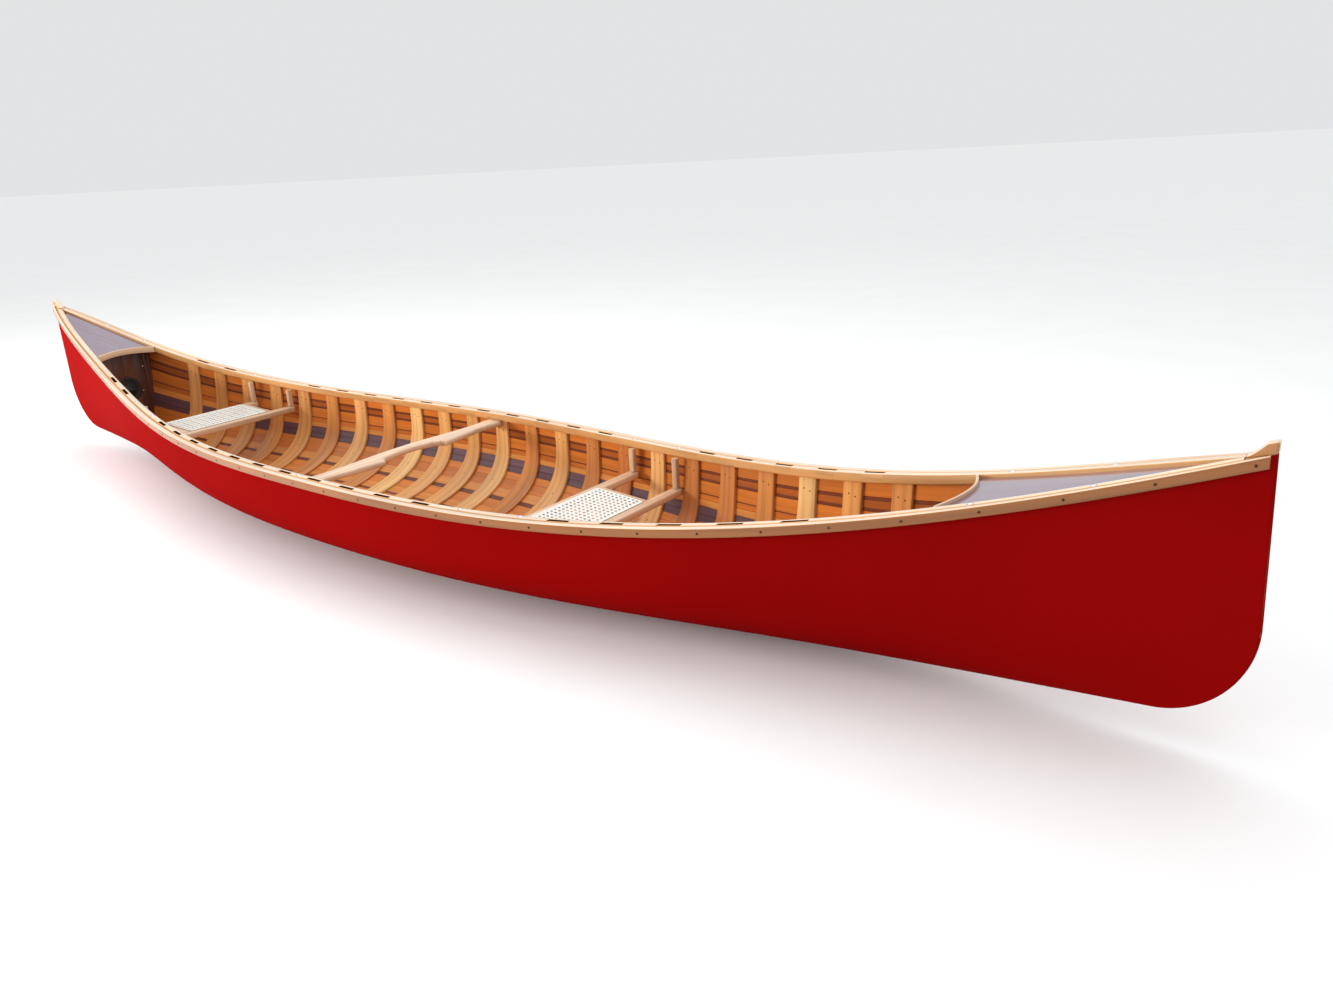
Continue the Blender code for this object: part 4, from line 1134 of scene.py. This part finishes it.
def build_cane(end, middle, forward, port, up, reach):
    """Six-way pattern: pairs of strands along and across, and one diagonal each way at every crossing."""
    axis_u, axis_v, axis_w = (np.array(axis) for axis in (forward, port, up))
    centre = np.array(middle)
    half_u = reach - RAIL_WIDE / 2 + CANE_LAP
    half_v = SEAT_HALF_WIDTH - SIDE_RAIL_WIDE + CANE_LAP
    edge_u, edge_v = half_u - SPLINE_WIDE / 2, half_v - SPLINE_WIDE / 2
    shape = Shape()

    def world(u, v, w):
        return centre + axis_u * u + axis_v * v + axis_w * w

    def weave(u, v, phase):
        return WEAVE_LIFT + WEAVE_SWING * math.cos(math.pi * (u + v) / CANE_PITCH + phase)

    seeds = iter(np.arange(0.0, 900.0, 0.37))
    count_v, count_u = int(edge_v / CANE_PITCH), int(edge_u / CANE_PITCH)
    for k in range(-count_v, count_v + 1):
        for side in (-1, 1):
            v = k * CANE_PITCH + side * PAIR_HALF
            path = [world(u, v, weave(u, v, math.pi * k + side))
                    for u in np.linspace(-edge_u, edge_u, 4 * count_u + 3)]
            strand(shape, path, STRAND_WIDE, axis_w, next(seeds))
    for k in range(-count_u, count_u + 1):
        for side in (-1, 1):
            u = k * CANE_PITCH + side * PAIR_HALF
            path = [world(u, v, weave(u, v, math.pi * (k + 1) + side))
                    for v in np.linspace(-edge_v, edge_v, 4 * count_v + 3)]
            strand(shape, path, STRAND_WIDE, axis_w, next(seeds))
    for slope in (-1, 1):
        for k in range(-count_u - count_v, count_u + count_v + 1):
            offset = (k + 0.5) * CANE_PITCH
            low = max(-edge_v, (-edge_u - offset) * slope if slope > 0 else (offset - edge_u))
            high = min(edge_v, (edge_u - offset) * slope if slope > 0 else (offset + edge_u))
            if high - low < 2 * CANE_PITCH:
                continue
            path = []
            for v in np.linspace(low, high, max(5, int((high - low) / CANE_PITCH * 3))):
                lift = DIAGONAL_LIFT + DIAGONAL_SWING * math.cos(2 * math.pi * v / CANE_PITCH + slope)
                path.append(world(offset + slope * v, v, lift))
            strand(shape, path, DIAGONAL_WIDE, axis_w, next(seeds))
    outline = round_rectangle(SPLINE_WIDE, 0.0030, 0.0013, 3)
    loop = round_rectangle(2 * edge_v, 2 * edge_u, 0.010, 6)
    loop = np.concatenate([loop, loop[:1]])
    path = np.array([world(u, v, WEAVE_LIFT) for v, u in loop])
    tangent = np.gradient(path, axis=0)
    tangent[0] = tangent[-1] = path[1] - path[-2]
    side = np.cross(unit(tangent), axis_w)
    rings = path[:, None, :] + side[:, None, :] * outline[None, :, :1]
    rings = rings + axis_w * outline[None, :, 1:]
    grain = grain_of(run_along(path)[:, None], outline[None, :, 0], outline[None, :, 1])
    shape.add(rings, tube_faces(len(rings), len(outline), caps=False), grain)
    make(f"{end}_cane_weave", shape, cane, "cane", [f"{end}_seat_cane"], weld=True)


# ---------------------------------------------------------------- fasteners
def frame_of(normal):
    """Two directions square to a normal."""
    normal = Vector(normal).normalized()
    first = normal.cross(Vector((0.0, 0.0, 1.0)))
    if first.length < 0.1:
        first = normal.cross(Vector((0.0, 1.0, 0.0)))
    first.normalize()
    return np.array(first), np.array(normal.cross(first)), np.array(normal)


def screw_head(shape, spot, normal, radius, height, slot=0.22, sunk=0.0006, turned=0.0):
    """Domed head with a slot; the slot is a dip between two rows of its grid."""
    first, second, up = frame_of(normal)
    first, second = (first * math.cos(turned) + second * math.sin(turned),
                     second * math.cos(turned) - first * math.sin(turned))
    rows = np.array((-0.98, -0.8, -0.5, -slot, -slot * 0.7, slot * 0.7, slot, 0.5, 0.8, 0.98))
    columns = np.linspace(-1.0, 1.0, 9)
    points = []
    for b in rows:
        half = math.sqrt(1.0 - b * b)
        for a in columns * half:
            lift = height * math.sqrt(max(0.0, 1.0 - 0.92 * (a * a + b * b)))
            if abs(b) < slot * 0.9:
                lift *= 0.35
            points.append(np.array(spot) + (first * a + second * b) * radius + up * lift)
    count, wide = len(points), len(columns)
    base = [point - up * np.dot(point - np.array(spot), up) - up * sunk for point in points]
    faces = grid_faces(len(rows), wide)
    faces += [face[::-1] for face in grid_faces(len(rows), wide, count)]
    faces += border_faces(len(rows), wide, count, ALL_EDGES)
    shape.add(points + base, faces)


def bolt_head(shape, spot, normal, radius, height, steps=5, segments=24):
    """Smooth domed head on a thin washer."""
    first, second, up = frame_of(normal)
    washer = 0.0010
    profile = [(radius * 1.25, -0.0006), (radius * 1.25, 0.0006), (radius * 1.17, washer), (radius, washer)]
    profile += [(radius * math.cos(a), washer + height * math.sin(a))
                for a in np.linspace(0.15, math.pi / 2 - 0.05, steps)]
    rings = []
    for r, lift in profile:
        rings.append([np.array(spot) + (first * math.cos(a) + second * math.sin(a)) * r + up * lift
                      for a in np.linspace(0.0, 2 * math.pi, segments, endpoint=False)])
    shape.add(np.array(rings), tube_faces(len(rings), segments))


def mirrored_y(point, side):
    return np.array(point) * (1.0, side, 1.0)


def build_outwale_screws():
    shape = Shape()
    for rib in range(-RIBS_EACH_WAY - 5, RIBS_EACH_WAY + 6):
        x = np.array([rib * PITCH])
        top, down = sheer_line(x, 0.0)
        centre = (top + down * GUNWALE_HIGH / 2)[0] + SIDEWAYS * (outwale_thickness(x[0]) + RAIL_CLEAR)
        for side in (-1, 1):
            screw_head(shape, mirrored_y(centre, side), (0, side, 0), 0.0034, 0.0010,
                       turned=dice.uniform(0, 3.14))
    make("outwale_screws", shape, bronze, "gunwale")


def build_rib_tacks():
    """Four small bronze tacks on each side of every rib: two near its tip and two lower down."""
    shape = Shape()
    for number in range(2 * RIBS_EACH_WAY + 1):
        x = (number - RIBS_EACH_WAY) * PITCH
        reach = float(girth_at(rib_top(x)))
        for girth, shift in ((reach - 0.030, -0.010), (reach - 0.036, 0.011),
                             (0.60 * reach, 0.0), (0.30 * reach, 0.0)):
            t = float(t_at_girth(girth))
            centre = shell(x + shift, girth, RIB_IN)
            inward = -hull_normal(x + shift, t)
            for side in (-1, 1):
                screw_head(shape, mirrored_y(centre, side), tuple(inward * (1, side, 1)), 0.0022, 0.0006)
    make("rib_tacks", shape, bronze, "rib")


def build_gunwale_bolts():
    """Domed bolts down through the gunwales into the hangers, the yoke and the decks."""
    shape = Shape()
    places = [(x, 0.017) for end in ("bow", "stern") for x in SEAT_RAIL_X[end]]
    places += [(YOKE_X, 0.017)]
    places += [(sign * x * PITCH, 0.012) for sign in (-1, 1) for x in (12.83, 14.3)]
    for x, inset in places:
        top, _ = sheer_line(np.array([x]), 0.0)
        centre = top[0] - SIDEWAYS * inset + (0.0, 0.0, 0.0002)
        slope = math.atan2(float(sheer_height(x + 0.01) - sheer_height(x - 0.01)), 0.02)
        for side in (-1, 1):
            bolt_head(shape, mirrored_y(centre, side), (-math.sin(slope), 0, math.cos(slope)),
                      0.0062, 0.0022)
    make("gunwale_bolts", shape, steel, "gunwale")


def build_bulkhead_screws():
    shape = Shape()
    for sign in (-1, 1):
        for side in (-1, 1):
            for y, z in ((0.066, HATCH_Z - 0.015), (0.084, HATCH_Z + 0.091), (0.040, HATCH_Z - 0.095)):
                screw_head(shape, (sign * BULKHEAD_X, side * y, z), (-sign, 0, 0), 0.0032, 0.0010)
    make("bulkhead_screws", shape, steel, "bulkhead")


# ---------------------------------------------------------------- stage, light and camera
FLOOR_REACH = 200.0
AIR_STRENGTH = 0.78
CEILING_ENERGY = 0.6
CEILING_ANGLE = math.radians(120.0)
OVERHEAD_POWER = 90.0
KEY_POWER = 420.0
KEY_WHITE = (1.0, 0.98, 0.95)


def build_stage():
    mesh = bpy.data.meshes.new("studio_floor")
    corners = [(a * FLOOR_REACH, b * FLOOR_REACH, 0) for a, b in ((-1, -1), (1, -1), (1, 1), (-1, 1))]
    mesh.from_pydata(corners, [], [(0, 1, 2, 3)])
    material, nodes, links, shader = principled("pale_floor")
    speckle = noise(nodes, links, object_place(nodes), 3.0, 2.0)
    links.new(ramp(nodes, links, speckle, ((0.3, 0.84), (0.7, 0.86))), shader.inputs["Base Color"])
    shader.inputs["Roughness"].default_value = 0.9
    mesh.materials.append(material)
    floor = bpy.data.objects.new("studio_floor", mesh)
    bpy.context.scene.collection.objects.link(floor)


def soft_light(name, place_at, target, size, power, colour=(1.0, 1.0, 1.0), glossy=True):
    data = bpy.data.lights.new(name, "AREA")
    data.shape = "RECTANGLE"
    data.size, data.size_y = size
    data.energy = power
    data.color = colour
    lamp = bpy.data.objects.new(name, data)
    lamp.location = place_at
    lamp.rotation_euler = (Vector(target) - Vector(place_at)).to_track_quat("-Z", "Y").to_euler()
    lamp.visible_glossy = glossy
    bpy.context.scene.collection.objects.link(lamp)


def build_lights():
    world = bpy.data.worlds.new("studio_air")
    world.use_nodes = True
    background = world.node_tree.nodes["Background"]
    background.inputs["Color"].default_value = (0.98, 0.99, 1.0, 1.0)
    background.inputs["Strength"].default_value = AIR_STRENGTH
    bpy.context.scene.world = world
    ceiling = bpy.data.lights.new("white_ceiling", "SUN")
    ceiling.energy = CEILING_ENERGY
    ceiling.angle = CEILING_ANGLE
    bpy.context.scene.collection.objects.link(bpy.data.objects.new("white_ceiling", ceiling))
    soft_light("overhead_softbox", (0.0, 0.6, 4.2), (0.0, 0.0, 0.3), (7.0, 3.5), OVERHEAD_POWER)
    soft_light("key_softbox", (-4.2, -4.4, 1.25), (-0.6, 0.0, 0.30), (2.6, 1.4), KEY_POWER, KEY_WHITE,
               glossy=False)


CAMERA_PLACE = Vector((2.6635, -2.0274, 1.2223))
CAMERA_YAW = math.radians(38.18)
CAMERA_PITCH = math.radians(19.554)
CAMERA_ROLL = math.radians(-2.951)
CAMERA_LENS = 27.272


def build_camera():
    """Turned by yaw from +Y towards -X, pitched down, and rolled about its own axis."""
    level = math.cos(CAMERA_PITCH)
    ahead = Vector((-math.sin(CAMERA_YAW) * level, math.cos(CAMERA_YAW) * level, -math.sin(CAMERA_PITCH)))
    right = Vector((math.cos(CAMERA_YAW), math.sin(CAMERA_YAW), 0.0))
    up = right.cross(ahead)
    rolled_right = right * math.cos(CAMERA_ROLL) + up * math.sin(CAMERA_ROLL)
    rolled_up = up * math.cos(CAMERA_ROLL) - right * math.sin(CAMERA_ROLL)
    data = bpy.data.cameras.new("camera")
    data.sensor_fit = "HORIZONTAL"
    data.sensor_width = 36.0
    data.lens = CAMERA_LENS
    data.clip_end = 60.0
    camera = bpy.data.objects.new("camera", data)
    axes = Matrix((rolled_right, rolled_up, -ahead)).transposed()
    camera.matrix_world = Matrix.Translation(CAMERA_PLACE) @ axes.to_4x4()
    bpy.context.scene.collection.objects.link(camera)
    bpy.context.scene.camera = camera


# ---------------------------------------------------------------- the whole canoe
build_camera()
build_skin()
build_planking()
build_ribs()
build_gunwales()
build_yoke()
for end, sign in (("bow", 1), ("stern", -1)):
    build_deck(end, sign)
    build_coaming(end, sign)
    build_stem_head(end, sign)
    build_bulkhead(end, sign)
    build_hatch(end, sign)
    build_seat(end)
    stem_materials = frame["nodes"][f"{end}_stem"].data.materials
    stem_materials.clear()
    stem_materials.append(hidden_wood)
build_outwale_screws()
build_rib_tacks()
build_gunwale_bolts()
build_bulkhead_screws()
build_stage()
build_lights()
bpy.context.scene.view_settings.view_transform = "Standard"
